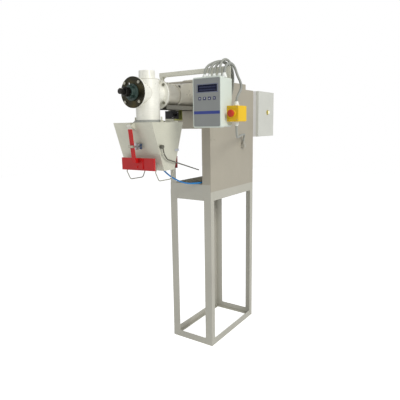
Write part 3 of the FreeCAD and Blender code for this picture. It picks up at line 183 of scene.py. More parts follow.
class Graph(Nodes):
    """The shader nodes of a new material, or of a new world."""

    def __init__(self, name, world=False):
        library = bpy.data.worlds if world else bpy.data.materials
        self.owner = library.new(name)
        self.owner.use_nodes = True
        self.last = "ShaderNodeOutputWorld" if world else "ShaderNodeOutputMaterial"
        super().__init__(self.owner.node_tree)
        self.tree.nodes.clear()

    def point(self, stretch=(1.0, 1.0, 1.0)):
        """Object coordinates in metres, stretched along each axis."""
        where = self.add("ShaderNodeTexCoord", out="Object")
        return self.add("ShaderNodeVectorMath", {"operation": "MULTIPLY"}, where, stretch)

    def height(self):
        """Height above the floor in metres."""
        return self.add("ShaderNodeSeparateXYZ", None, self.point(), out="Z")

    def noise(self, scale, detail, stretch=(1.0, 1.0, 1.0)):
        return self.add("ShaderNodeTexNoise", Vector=self.point(stretch), Scale=scale, Detail=detail)

    def remap(self, value, low, high, to_low, to_high):
        return self.add("ShaderNodeMapRange", None, value, low, high, to_low, to_high)

    def spread(self, noise, low, high):
        return self.remap(noise, NOISE_LOW, NOISE_HIGH, low, high)

    def blend(self, factor, first, second):
        """Mix of two colours, whose sockets come after five of other kinds."""
        others = [None] * 5
        return self.add("ShaderNodeMix", {"data_type": "RGBA"}, factor, *others, first, second, out=2)

    def bump(self, height, strength, distance):
        return self.add("ShaderNodeBump", Height=height, Strength=strength, Distance=distance)

    def principled(self, **links):
        return self.finish(self.add("ShaderNodeBsdfPrincipled", **links))

    def rays(self, kind):
        """1 for the rays of one kind, which Light Path names."""
        return self.add("ShaderNodeLightPath", out=kind)

    def either(self, first, second):
        return self.add("ShaderNodeMath", {"operation": "MAXIMUM"}, first, second)

    def finish(self, surface):
        end = self.tree.nodes.new(self.last)
        self.tree.links.new(surface.socket, end.inputs["Surface"])
        return self.owner


def colour(red, green, blue):
    """A colour given on the 0 to 255 scale, as the linear values a shader wants."""
    out = []
    for c in (red, green, blue):
        c = c / 255.0
        out.append(c / 12.92 if c <= 0.04045 else ((c + 0.055) / 1.055) ** 2.4)
    return (*out, 1.0)


def shade(base, factor):
    return (base[0] * factor, base[1] * factor, base[2] * factor, 1.0)


print("mid grey is", colour(128, 128, 128)[0], "in linear light")

# %% [markdown]
# ## Painted steel
# The stand and the sheet-metal box are sprayed with a warm grey enamel. A plain colour would
# look like plastic, because sprayed enamel is a little thinner and duller in some places and
# has a fine orange-peel skin. A broad noise gives the tone, a fine one the skin and a sparse
# one the dust. The red clamp levers are left pale at the top, above a fixed height.

# %% Enamel
PALE_TIP = colour(214, 212, 200)
SPECK_LEVEL = 0.68
TIP_HEIGHT = 1.248


def enamel(name, base, rough=0.42, peel=0.12, drift=0.05, dust=0.35, pale_above=0.0):
    """Sprayed paint; a piece is pale above the height pale_above, in metres."""
    g = Graph(name)
    tone = g.spread(g.noise(scale=3.5, detail=4.0), 0.0, 1.0)
    body = g.blend(tone, shade(base, 1.0 - drift), shade(base, 1.0 + drift))
    speck = g.noise(scale=160.0, detail=2.0) > SPECK_LEVEL
    body = g.blend(speck * dust, body, shade(base, 0.84))
    skin = g.noise(scale=420.0, detail=2.0)
    wear = g.noise(scale=28.0, detail=4.0)
    if pale_above:
        body = g.blend(g.height() > pale_above, body, PALE_TIP)
    return g.principled(
        Base_Color=body,
        Roughness=g.spread(wear, rough - 0.06, rough + 0.08),
        Normal=g.bump(skin, peel, 0.0006),
    )


STAND_GREY = colour(179, 177, 165)
PANEL_GREY = colour(164, 158, 143)
BEAM_GREY = colour(128, 126, 116)
ARM_GREY = colour(206, 205, 190)
CLAMP_RED = colour(186, 3, 5)
# Painted shade: the rear clamp has the same red paint as the front one, and this darker red stands
# for the shade it sits in behind the spout.
REAR_RED_IN_SHADE = colour(120, 14, 14)
HOUSING_GREEN = colour(40, 60, 54)
GEAR_GREY = colour(112, 120, 124)
CLAMP_COAT = {"peel": 0.1, "drift": 0.06, "dust": 0.15}
stand_enamel = enamel("stand_enamel", STAND_GREY)
panel_enamel = enamel("panel_enamel", PANEL_GREY, rough=0.48)
beam_enamel = enamel("beam_enamel", BEAM_GREY, rough=0.4)
arm_enamel = enamel("arm_enamel", ARM_GREY, rough=0.38)
clamp_enamel = enamel("clamp_enamel", CLAMP_RED, rough=0.4, **CLAMP_COAT)
lever_enamel = enamel("lever_enamel", CLAMP_RED, rough=0.4, pale_above=TIP_HEIGHT, **CLAMP_COAT)
# The rear clamp's enamel carries that painted shade in its darker red.
clamp_back_enamel = enamel("clamp_back_enamel", REAR_RED_IN_SHADE, rough=0.34, pale_above=TIP_HEIGHT,
                           **CLAMP_COAT)
housing_enamel = enamel("housing_enamel", HOUSING_GREEN, rough=0.45, peel=0.3, drift=0.12, dust=0.3)
gear_enamel = enamel("gear_enamel", GEAR_GREY, rough=0.5, peel=0.35, drift=0.08)
print("enamels done with", stand_enamel.name, "to", gear_enamel.name)

# %% [markdown]
# ## Stainless pipe and sheet
# The parts that touch the powder are stainless. The pipes were blasted to an even, pale
# satin, and the spout is folded from sheet with a fine grain. A photograph of the grain could
# be wrapped on, but noise has no seam. On satin metal the eye reads the grain's direction, so
# the noise is stretched along one axis before it goes into the colour and the bump.

# %% Stainless
def even(fineness):
    """Grain as fine one way as another."""
    return (fineness, fineness, fineness)


def stainless(name, base, grain, rough, metal, depth=0.12):
    """Satin metal, with the fineness of its grain along each axis."""
    g = Graph(name)
    line = g.noise(scale=1.0, detail=3.0, stretch=grain)
    cloud = g.noise(scale=9.0, detail=4.0)
    smear = g.noise(scale=32.0, detail=3.0)
    body = g.blend(g.spread(cloud, 0.0, 1.0), shade(base, 0.93), shade(base, 1.04))
    body = g.blend(g.remap(line, 0.35, 0.65, 0.0, 0.35), body, shade(base, 0.82))
    return g.principled(
        Base_Color=body,
        Metallic=metal,
        Roughness=g.spread(smear, rough - 0.07, rough + 0.08),
        Normal=g.bump(line, depth, 0.0004),
    )


PIPE_PALE = colour(242, 241, 231)
TUBE_PALE = colour(206, 202, 188)
SPOUT_PALE = colour(208, 207, 190)
BRIGHT = colour(190, 191, 190)
ROD_WARM = colour(176, 173, 158)
WIRE_WARM = colour(172, 171, 156)
WELD_PALE = colour(204, 201, 190)
FEELER_DARK = colour(104, 103, 92)
BOLT_WARM = colour(150, 148, 134)
ALLOY_PALE = colour(206, 210, 214)
MOTOR_GREY = colour(150, 154, 156)
ZINC_YELLOW = colour(168, 170, 104)
column_steel = stainless("column_steel", PIPE_PALE, (40, 40, 300), rough=0.34, metal=0.1, depth=0.03)
tube_steel = stainless("tube_steel", TUBE_PALE, (40, 300, 40), rough=0.34, metal=0.35, depth=0.05)
spout_steel = stainless("spout_steel", SPOUT_PALE, (45, 45, 500), rough=0.45, metal=0.25, depth=0.08)
bright_steel = stainless("bright_steel", BRIGHT, even(500), rough=0.3, metal=0.95)
rod_steel = stainless("rod_steel", ROD_WARM, (900, 40, 900), rough=0.3, metal=0.7, depth=0.05)
wire_steel = stainless("wire_steel", WIRE_WARM, even(300), rough=0.4, metal=0.45)
weld_steel = stainless("weld_steel", WELD_PALE, even(400), rough=0.35, metal=0.3)
feeler_steel = stainless("feeler_steel", FEELER_DARK, even(300), rough=0.4, metal=0.4)
bolt_steel = stainless("bolt_steel", BOLT_WARM, even(500), rough=0.35, metal=0.7)
alloy = stainless("alloy", ALLOY_PALE, even(300), rough=0.35, metal=0.75)
motor_alloy = stainless("motor_alloy", MOTOR_GREY, even(200), rough=0.5, metal=0.5)
bracket_steel = stainless("bracket_steel", ZINC_YELLOW, (120, 120, 500), rough=0.35, metal=0.7)
print("metals done with", column_steel.name, "to", bracket_steel.name)

# %% [markdown]
# ## Dark and moulded parts
# The bearing plate is blackened steel with a rub of brown, the load cell is black anodised,
# and the boxes, glands and buttons are moulded plastic, whose fine texture shows only as a
# soft break in the highlight. One recipe each is enough, because only the colour, the shine
# and the texture's size change. The lowest gland, on the elbow, is grey instead of white.

# %% Dark metal and plastics
ENTRY_GREY = colour(166, 163, 152)
ELBOW_BELOW = 1.2
FILM = {"texture": 1500.0, "depth": 0.05}


def blackened(name, dark, rub, rough, metal):
    """Dark metal with a paler rub."""
    g = Graph(name)
    patch = g.noise(scale=22.0, detail=5.0)
    tool_marks = g.noise(scale=1.0, detail=2.0, stretch=(900, 60, 900))
    body = g.blend(g.remap(patch, 0.42, 0.72, 0.0, 0.8), dark, rub)
    return g.principled(
        Base_Color=body,
        Metallic=metal,
        Roughness=g.spread(patch, rough, rough + 0.2),
        Normal=g.bump(tool_marks, 0.15, 0.0004),
    )


def moulded(name, base, rough, texture=900.0, depth=0.15, grey_below=0.0):
    """Moulded plastic; a piece is grey below the height grey_below, in metres."""
    g = Graph(name)
    grit = g.noise(scale=texture, detail=2.0)
    broad = g.noise(scale=12.0, detail=3.0)
    body = g.blend(g.spread(broad, 0.0, 1.0), shade(base, 0.97), shade(base, 1.03))
    if grey_below:
        body = g.blend(g.height() > grey_below, ENTRY_GREY, body)
    return g.principled(
        Base_Color=body,
        Roughness=g.spread(grit, rough - 0.05, rough + 0.07),
        Normal=g.bump(grit, depth, 0.0003),
    )


plate_black = blackened("plate_black", colour(34, 32, 18), colour(78, 70, 36), rough=0.28, metal=0.7)
cell_black = blackened("cell_black", colour(24, 24, 26), colour(44, 44, 48), rough=0.3, metal=0.4)
shaft_black = blackened("shaft_black", colour(28, 27, 25), colour(60, 57, 52), rough=0.25, metal=0.8)
case_plastic = moulded("case_plastic", colour(200, 208, 198), 0.38)
cabinet_plastic = moulded("cabinet_plastic", colour(222, 222, 222), 0.42)
lid_plastic = moulded("lid_plastic", colour(202, 203, 195), 0.42)
gland_plastic = moulded("gland_plastic", colour(226, 228, 224), 0.3, grey_below=ELBOW_BELOW)
seal_rubber = moulded("seal_rubber", colour(150, 152, 146), 0.65, texture=500.0, depth=0.3)
fan_plastic = moulded("fan_plastic", colour(30, 30, 31), 0.5)
stop_yellow = moulded("stop_yellow", colour(224, 182, 4), 0.5)
stop_red = moulded("stop_red", colour(184, 44, 6), 0.5)
film_grey = moulded("film_grey", colour(130, 133, 131), 0.4, **FILM)
film_blue = moulded("film_blue", colour(34, 52, 128), 0.35, **FILM)
cell_blue = moulded("cell_blue", colour(20, 30, 70), 0.3, **FILM)
key_blue = moulded("key_blue", colour(24, 34, 80), 0.3, **FILM)
print_white = moulded("print_white", colour(228, 230, 232), 0.4)
cable_grey = moulded("cable_grey", colour(150, 152, 144), 0.5, texture=700.0, depth=0.2)
conduit_grey = moulded("conduit_grey", colour(142, 144, 138), 0.45, texture=700.0, depth=0.2)
hose_blue = moulded("hose_blue", colour(34, 124, 190), 0.22, texture=300.0, depth=0.03)
fitting_blue = moulded("fitting_blue", colour(40, 60, 90), 0.3)
print("plastics done with", case_plastic.name, "to", fitting_blue.name)

# %% [markdown]
# ## Display and lamp
# The display is a dark blue window, and its cloudy tone comes from one noise. The cabinet's
# lamp is lit: its lens is nearly white in the middle and amber round the edge. An emitting
# material would also light the wall beside it, so the two colours are only painted, by the
# distance from the lamp's axis.

# %% Display glass and lamp lens
LAMP_AT = (174.0, 630.0, 1337.0)
LAMP_CORE_R = 0.0105


def screen_glass(name):
    g = Graph(name)
    cloud = g.noise(scale=30.0, detail=2.0)
    body = g.blend(cloud, colour(8, 12, 34), colour(14, 22, 52))
    return g.principled(Base_Color=body, Roughness=0.4, Specular_IOR_Level=0.1)


def lamp_lens(name, centre, core, rim, edge):
    """Lit lens: core colour near the lamp's axis and rim colour beyond edge metres from it."""
    g = Graph(name)
    across = g.point((0.0, 1.0, 1.0))
    spot = g.add("ShaderNodeVectorMath", {"operation": "DISTANCE"}, across,
                 (0.0, centre.y, centre.z), out="Value")
    body = g.blend(spot > edge, core, rim)
    grain = g.noise(scale=300.0, detail=2.0)
    return g.principled(Base_Color=body, Roughness=0.2, Normal=g.bump(grain, 0.05, 0.0003))


display_glass = screen_glass("display_glass")
lamp_glow = lamp_lens("lamp_glow", place(*LAMP_AT), core=colour(255, 250, 214),
                      rim=colour(176, 160, 74), edge=LAMP_CORE_R)
print("lens", lamp_glow.name, "and glass", display_glass.name)

# %% [markdown]
# ## A finish for every CAD node
# The CAD nodes come without a finish. Each could be painted by a line of its own, but a list
# of names and finishes reads like the painter's own sheet, and one loop puts them on.

# %% Finishes for the CAD nodes
FINISH = {
    "stand_frame": stand_enamel,
    "upper_frame": stand_enamel,
    "right_panel": panel_enamel,
    "left_panel": panel_enamel,
    "front_panel": panel_enamel,
    "back_panel": panel_enamel,
    "top_cover": panel_enamel,
    "box_floor": panel_enamel,
    "arm": arm_enamel,
    "support_beam": beam_enamel,
    "column": column_steel,
    "vent_spigot": column_steel,
    "auger_tube": tube_steel,
    "feed_trough": tube_steel,
    "spout": spout_steel,
    "bearing_plate": plate_black,
    "bearing_housing": housing_enamel,
    "shaft_collar": shaft_black,
    "auger": shaft_black,
    "flange_bolts": bolt_steel,
    "coupling": bright_steel,
    "gearbox": gear_enamel,
    "drive_pedestal": stand_enamel,
    "motor": motor_alloy,
    "fan_cover": motor_alloy,
    "motor_fan": fan_plastic,
    "load_cell": cell_black,
    "stop_bracket": bracket_steel,
    "column_seal": seal_rubber,
    "front_clamp_lever": lever_enamel,
    "front_clamp_jaw": clamp_enamel,
    "rear_clamp_lever": clamp_back_enamel,
    "rear_clamp_jaw": clamp_back_enamel,
    "front_cylinder": alloy,
    "rear_cylinder": alloy,
    "front_cylinder_rod": rod_steel,
    "rear_cylinder_rod": rod_steel,
    "bag_wires": wire_steel,
    "feeler_head": feeler_steel,
    "feeler_rod": feeler_steel,
    "ctrl_case": case_plastic,
    "ctrl_front": case_plastic,
    "ctrl_membrane": film_grey,
    "ctrl_display": display_glass,
    "cable_glands": gland_plastic,
    "stop_box": stop_yellow,
    "stop_lid": stop_yellow,
    "stop_button": stop_red,
    "cabinet_body": cabinet_plastic,
    "cabinet_lid": lid_plastic,
    "cabinet_lamp": lamp_glow,
    "air_valve": alloy,
}
for node_name, finish in FINISH.items():
    mesh = nodes[node_name].data
    mesh.materials.clear()
    mesh.materials.append(finish)
print("finishes", len(FINISH))

# %% [markdown]
# ## Cords
# Each cord is a smooth NURBS curve through the same route as its CAD tube. The controller's
# four cables and the conduit to the stop box are corrugated. The stop cable and the two air
# hoses are smooth. A curve's own bevel can only make a smooth tube, so these are swept by
# Geometry Nodes instead, as the next steps show.

# %% Cord routes
CABLE_ROUTES = (
    ((290, -281, 1467), (290, -281, 1495), (296, -266, 1519), (306, -241, 1532.5), (317, -215, 1543),
     (328, -187.5, 1546.5), (338, -163.5, 1531.5), (342.5, -153, 1506), (338, -149, 1478),
     (321, -139, 1454), (287, -131, 1443.5), (240, -117, 1440), (184, -91, 1440), (136, -62, 1440),
     (110, -36, 1440), (110, -4, 1440)),
    ((316, -281, 1467), (316, -281, 1495), (320.5, -266, 1520.5), (328.5, -241, 1535.5),
     (337, -213, 1540.5), (346, -185, 1533), (351.5, -167.5, 1512.5), (355, -159, 1488),
     (355, -151, 1454), (338, -143, 1425), (304, -134, 1411), (262, -124, 1407), (219, -110, 1407),
     (178, -89, 1408), (136, -62, 1408), (110, -36, 1408), (110, -4, 1408)),
    ((341, -281, 1467), (341, -281, 1494.5), (344, -268, 1519), (349, -245, 1534.5),
     (355.5, -218, 1538), (361, -193, 1526.5), (364, -179.5, 1502.5), (367, -173, 1480),
     (365, -166, 1444), (350, -155, 1410), (318, -145, 1388), (278, -132, 1378), (233, -114, 1375),
     (184, -92, 1375), (137, -63, 1376), (110, -36, 1376), (110, -4, 1376)),
    ((368, -281, 1467), (368, -281, 1494), (369, -275, 1521.5), (371.5, -255.5, 1541),
     (375, -228, 1544.5), (378.5, -204, 1530.5), (380, -192.5, 1505), (381, -185, 1480),
     (377, -179, 1440), (364, -170, 1397), (333, -158, 1362), (290, -143, 1346), (240, -122, 1342),
     (186, -94, 1343), (138, -63, 1344), (110, -36, 1344), (110, -4, 1344)),
)
CONDUIT_ROUTE = ((391, -281, 1467), (391, -281, 1491), (392.7, -268, 1514.5), (395.5, -244, 1526.5),
                 (398.5, -217.5, 1522), (401, -199, 1502), (405, -189, 1476), (416, -184, 1452),
                 (426, -190, 1429), (430, -206, 1409.5), (430, -226, 1393), (428.5, -240, 1372),
                 (428.5, -240, 1347))
STOP_CABLE_ROUTE = ((428.5, -240, 1271), (428.5, -240, 1244.5), (424.1, -229.9, 1219.8),
                    (416.6, -212.7, 1207.9), (407, -191.4, 1206), (391, -154, 1206),
                    (368, -105, 1206.2), (342, -52, 1206.5), (314, 2.5, 1206.8), (286.8, 58, 1207),
                    (261.2, 113.5, 1207.2), (237.5, 167, 1207.4), (216.5, 216, 1207.5),
                    (199.5, 261, 1207.6), (185, 299, 1207), (166, 330, 1202), (155, 346, 1189.5),
                    (149.5, 354, 1172), (149.5, 354, 1152))
HOSE_ROUTES = (
    ((-20, -239, 1162.5), (-44, -239, 1162.5), (-64, -228, 1148), (-72, -212, 1122),
     (-68, -200, 1092), (-54, -194, 1062), (-33, -190, 1036), (-9, -182, 1012), (8, -162, 992),
     (20, -132, 975), (31, -98, 961), (43, -62, 953), (56, -22, 950), (76, 20, 951), (99, 62, 955),
     (117, 98, 960), (124, 124, 961), (124, 144, 961)),
    ((-20, -239, 1175.5), (-46, -239, 1175.5), (-70, -226, 1162), (-82, -206, 1134),
     (-80, -192, 1100), (-66, -186, 1067), (-43, -182, 1036), (-16, -174, 1011), (0, -154, 991),
     (11, -126, 975), (21, -93, 961), (33, -58, 953), (45, -18, 950), (64, 24, 951), (86, 66, 955),
     (103, 100, 960), (110, 124, 961), (110, 144, 961)),
)


def smooth_route(name, points, steps=10):
    data = bpy.data.curves.new(name, "CURVE")
    data.dimensions = "3D"
    data.resolution_u = steps
    spline = data.splines.new("NURBS")
    spline.points.add(len(points) - 1)
    for control, point in zip(spline.points, points):
        control.co = (*place(*point), 1.0)
    spline.order_u = 3
    spline.use_endpoint_u = True
    return add_object(name, data)


def route_points(route):
    """Points along the smooth curve, read from Blender itself."""
    depsgraph = bpy.context.evaluated_depsgraph_get()
    line = bpy.data.meshes.new_from_object(route.evaluated_get(depsgraph))
    points = [tuple(v.co) for v in line.vertices]
    bpy.data.meshes.remove(line)
    return points


def path_length(points):
    return sum(math.dist(a, b) for a, b in zip(points, points[1:]))


print("routes", len(CABLE_ROUTES) + len(HOSE_ROUTES) + 2)

# %% [markdown]
# ## Recipes
# A Geometry Nodes tree is a recipe: its named inputs are the sizes, and any object can carry
# it. It could stay live on the object, but then its copies are only instances, which a file
# of plain meshes drops. So each recipe makes its copies real, sets the finish, and `cook`
# keeps the result as a mesh.

# %% Geometry Nodes helper
class Recipe(Nodes):
    """A Geometry Nodes tree with named inputs."""

    def __init__(self, name, inputs):
        super().__init__(bpy.data.node_groups.new(name, "GeometryNodeTree"))
        face = self.tree.interface
        face.new_socket("Geometry", in_out="INPUT", socket_type="NodeSocketGeometry")
        for key, kind in inputs.items():
            face.new_socket(key, in_out="INPUT", socket_type="NodeSocket" + kind)
        face.new_socket("Geometry", in_out="OUTPUT", socket_type="NodeSocketGeometry")
        self.source = self.tree.nodes.new("NodeGroupInput")

    def asked(self, key):
        return Value(self, self.source.outputs[key])

    def close(self, geometry):
        solid = self.add("GeometryNodeRealizeInstances", Geometry=geometry)
        painted = self.add("GeometryNodeSetMaterial", Geometry=solid, Material=self.asked("Finish"))
        end = self.tree.nodes.new("NodeGroupOutput")
        self.feed(end.inputs[0], painted)
        return self


def cook(name, recipe, base, **values):
    """Runs a recipe on a base object and keeps the result as a plain mesh."""
    modifier = base.modifiers.new("recipe", "NODES")
    modifier.node_group = recipe.tree
    for item in recipe.tree.interface.items_tree:
        if item.in_out == "INPUT" and item.name in values:
            modifier[item.identifier] = values[item.name]
    depsgraph = bpy.context.evaluated_depsgraph_get()
    mesh = bpy.data.meshes.new_from_object(base.evaluated_get(depsgraph))
    mesh.name = name
    bpy.data.objects.remove(base)
    return add_object(name, mesh)


# %% [markdown]
# ## The swept tube
# A corrugated sheath is a tube whose rings go in and out. The route is cut into short equal
# steps, and of every four rings two are sunk by the depth of the groove. Modelling a groove
# and copying it would kink in the bends, while the sweep turns with the route. With no
# groove the same recipe makes a smooth tube.

# %% Sweep recipe and the eight cords
RINGS_PER_GROOVE = 4.0
SUNK_FROM = 1.5
TUBE_SIDES = 16


def make_sweep():
    r = Recipe("swept_tube", {"Radius": "Float", "Groove": "Float", "Step": "Float",
                              "Finish": "Material"})
    line = r.add("GeometryNodeResampleCurve", {"mode": "LENGTH"}, Curve=r.asked("Geometry"),
                 Length=r.asked("Step"))
    number = r.add("GeometryNodeInputIndex")
    sunk = number % RINGS_PER_GROOVE > SUNK_FROM
    size = r.asked("Radius") - sunk * r.asked("Groove")
    ring = r.add("GeometryNodeCurvePrimitiveCircle", Resolution=TUBE_SIDES, Radius=1.0)
    tube = r.add("GeometryNodeCurveToMesh", Curve=line, Profile_Curve=ring, Scale=size,
                 Fill_Caps=True)
    smooth = r.add("GeometryNodeSetShadeSmooth", Geometry=tube)
    return r.close(smooth)


sweep = make_sweep()


def lay_cord(name, points, finish, radius, groove, step):
    route = smooth_route(name + "_route", points)
    along = route_points(route)
    piece = cook(name + "_sheath", sweep, route, Radius=radius * MM, Groove=groove * MM,
                 Step=step * MM, Finish=finish)
    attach(piece, MACHINE)
    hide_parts(name)
    print(name, round(path_length(along), 3), "m", len(piece.data.polygons), "faces")


for number, points in enumerate(CABLE_ROUTES, 1):
    lay_cord(f"cable_{number}", points, cable_grey, radius=5.5, groove=0.7, step=1.1)
lay_cord("stop_conduit", CONDUIT_ROUTE, conduit_grey, radius=6.0, groove=0.9, step=1.2)
lay_cord("stop_cable", STOP_CABLE_ROUTE, cable_grey, radius=5.5, groove=0.0, step=4.0)
for number, points in enumerate(HOSE_ROUTES, 1):
    lay_cord(f"hose_{number}", points, hose_blue, radius=4.0, groove=0.0, step=3.0)

# %% [markdown]
# ## Turned and flat pieces
# Screws, nipples and rings are turned, so they are made as a lathe makes them: a profile
# spun round an axis. Films, frames and gaskets are flat, so they are outlines with a
# thickness. Bmesh does both in a few lines, and keeps the edges that should look sharp.

# %% Turned shapes and plates
def soften(bm, limit=0.6):
    """Smooth shading with the sharp corners kept sharp."""
    bmesh.ops.recalc_face_normals(bm, faces=bm.faces)
    for face in bm.faces:
        face.smooth = True
    for edge in bm.edges:
        if len(edge.link_faces) == 2 and edge.calc_face_angle() > limit:
            edge.smooth = False


def turned(name, profile, steps=28):
    """Solid from (radius, height) pairs in millimetres, spun round Z."""
    bm = bmesh.new()
    ring = [bm.verts.new((r * MM, 0.0, h * MM)) for r, h in profile]
    line = [bm.edges.new(pair) for pair in zip(ring, ring[1:])]
    bmesh.ops.spin(bm, geom=ring + line, cent=(0, 0, 0), axis=(0, 0, 1), angle=2 * math.pi,
                   steps=steps, use_merge=True)
    bmesh.ops.remove_doubles(bm, verts=bm.verts, dist=1e-7)
    soften(bm)
    mesh = bpy.data.meshes.new(name)
    bm.to_mesh(mesh)
    bm.free()
    return add_object(name, mesh)


def plate(name, outlines, y0, y1):
    """Flat pieces from closed (x, z) outlines drawn on the operator's side."""
    bm = bmesh.new()
    for outline in outlines:
        front = [bm.verts.new(place(x, y0, z)) for x, z in outline]
        back = [bm.verts.new(place(x, y1, z)) for x, z in outline]
        bm.faces.new(front)
        bm.faces.new(back[::-1])
        for k in range(len(front)):
            m = (k + 1) % len(front)
            bm.faces.new((front[k], front[m], back[m], back[k]))
    bmesh.ops.recalc_face_normals(bm, faces=bm.faces)
    mesh = bpy.data.meshes.new(name)
    bm.to_mesh(mesh)
    bm.free()
    return add_object(name, mesh)


def rounded(x0, x1, z0, z1, r, steps=5):
    """Closed outline of a rectangle with round corners."""
    out = []
    for cx, cz, start in ((x1 - r, z1 - r, 0), (x0 + r, z1 - r, 90), (x0 + r, z0 + r, 180),
                          (x1 - r, z0 + r, 270)):
        for k in range(steps + 1):
            t = math.radians(start + 90.0 * k / steps)
            out.append((cx + r * math.cos(t), cz + r * math.sin(t)))
    return out


def dress(piece, finish, body=MACHINE):
    """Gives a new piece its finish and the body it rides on."""
    piece.data.materials.clear()
    piece.data.materials.append(finish)
    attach(piece, body)
    print(piece.name, len(piece.data.polygons), "faces")
    return piece


# %% [markdown]
# ## Copies
# Screws and ribs repeat, so each is drawn once and placed many times. The scatter recipe
# copies a shape to a list of places, all turned the same way. The crown recipe sets a ring
# of copies round each place, each facing outwards, as the flutes of a gland nut do.

# %% Scatter and crown recipes
def make_scatter():
    r = Recipe("scatter", {"Shape": "Object", "Turn": "Vector", "Finish": "Material"})
    shape = r.add("GeometryNodeObjectInfo", Object=r.asked("Shape"), out="Geometry")
    spread = r.add("GeometryNodeInstanceOnPoints", Points=r.asked("Geometry"), Instance=shape,
                   Rotation=r.asked("Turn"))
    return r.close(spread)


def make_crown():
    r = Recipe("crown", {"Shape": "Object", "Count": "Int", "Reach": "Float", "Turn": "Vector",
                         "Finish": "Material"})
    shape = r.add("GeometryNodeObjectInfo", Object=r.asked("Shape"), out="Geometry")
    ring = r.add("GeometryNodeMeshCircle", Vertices=r.asked("Count"), Radius=r.asked("Reach"))
    outward = r.add("FunctionNodeAlignRotationToVector", {"axis": "X", "pivot_axis": "Z"},
                    Vector=r.add("GeometryNodeInputPosition"))
    crown = r.add("GeometryNodeInstanceOnPoints", Points=ring, Instance=shape, Rotation=outward)
    spread = r.add("GeometryNodeInstanceOnPoints", Points=r.asked("Geometry"), Instance=crown,
                   Rotation=r.asked("Turn"))
    return r.close(spread)


scatter = make_scatter()
crown = make_crown()
UP = (0.0, 0.0, 0.0)
DOWN = (math.pi, 0.0, 0.0)
FORWARD = (math.pi / 2, 0.0, 0.0)
BACK = (-math.pi / 2, 0.0, 0.0)
RIGHT = (0.0, math.pi / 2, 0.0)
LEFT = (0.0, -math.pi / 2, 0.0)


def marks(name, places):
    """A mesh of loose points, one at each drawn place."""
    mesh = bpy.data.meshes.new(name)
    mesh.from_pydata([tuple(place(*p)) for p in places], [], [])
    return add_object(name, mesh)


def strew(name, shape, places, turn, finish, body=MACHINE):
    """Copies of a shape at drawn places, all facing the same way."""
    piece = cook(name, scatter, marks(name + "_places", places), Shape=shape, Turn=turn,
                 Finish=finish)
    return dress(piece, finish, body)


def ring_of(name, shape, count, reach, places, turn, finish):
    """A ring of copies round each drawn place."""
    piece = cook(name, crown, marks(name + "_places", places), Shape=shape, Count=count,
                 Reach=reach * MM, Turn=turn, Finish=finish)
    return dress(piece, finish)


print("recipes", scatter.tree.name, crown.tree.name)

# %% [markdown]
# ## Fastenings and fittings
# The sheets are held by pan-head screws, the glands have fluted nuts, the air cylinders have
# end rings and push-in fittings, and the bearing has a grease nipple. Bought parts like
# these could be copied from a library, but a profile of a few radii and heights, in
# millimetres, is enough at their size.

# %% Shapes drawn once
screw = turned("screw_shape", [(0, 0.8), (1.1, 0.8), (1.3, 1.5), (2.1, 1.5), (2.7, 1.0), (2.9, 0),
                               (0, 0)])
small_screw = turned("small_screw_shape", [(0, 0.5), (0.7, 0.5), (0.8, 1.0), (1.4, 1.0), (1.9, 0.5),
                                           (2.0, 0), (0, 0)], 20)
nipple = turned("nipple_shape", [(0, 8), (1.6, 7.4), (2.0, 6.2), (1.3, 5.0), (1.4, 3.6), (3.2, 3.4),
                                 (3.4, 0), (0, 0)])
fitting = turned("fitting_shape", [(4.1, 7), (5.2, 7), (6.6, 5.8), (6.6, 2.4), (6.0, 2.2), (6.0, 0),
                                   (4.1, 0), (4.1, 7)])
plug = turned("plug_shape", [(0, 3.4), (2.6, 3.4), (3.6, 2.6), (3.8, -1), (0, -1)])
end_ring = turned("end_ring_shape", [(15.0, 0), (15.7, 0.3), (15.7, 2.7), (15.0, 3.0), (15.0, 0)], 48)
centre_dot = turned("centre_shape", [(0, 0.15), (2.6, 0.15), (3.0, 0), (0, 0)])


def slanted_rib(name, half_width=0.9, half_depth=0.6, half_height=3.6, low_lean=0.9, high_lean=-0.7):
    """Rib of a gland nut, leaning in with the cone."""
    foot = [(-half_width, -half_depth), (half_width, -half_depth), (half_width, half_depth),
            (-half_width, half_depth)]
    corners = [((x + lean) * MM, y * MM, z * MM)
               for z, lean in ((-half_height, low_lean), (half_height, high_lean)) for x, y in foot]
    sides = [(k, (k + 1) % 4, 4 + (k + 1) % 4, 4 + k) for k in range(4)]
    mesh = bpy.data.meshes.new(name)
    mesh.from_pydata(corners, [], [(3, 2, 1, 0), (4, 5, 6, 7)] + sides)
    return add_object(name, mesh)


rib = slanted_rib("rib_shape")
shapes = (screw, small_screw, nipple, fitting, plug, end_ring, centre_dot, rib)
print("shapes", len(shapes))

# %% [markdown]
# ## Screws
# Each sheet is screwed to the frame behind it along its edges, at even steps. The holes
# can't be seen under the heads, so the heads alone are set on the sheets. One strewn piece
# for each sheet keeps them together with what they hold.

# %% Screws
COVER_Z = 1497
COVER_STEP_Z = 1467
COVER_EDGE_X = 129
LID_FACE_Y = -276
CASE_BACK_Y = -232
ARM_PLATE_Y = -208
CELL_SIDE_X = 20
CABINET_BACK = (154, 724)


def spaced(first, last, count):
    return [first + (last - first) * k / (count - 1) for k in range(count)]


def screws(name, places, turn, shape=screw, finish=bolt_steel):
    strew(name, shape, places, turn, finish)


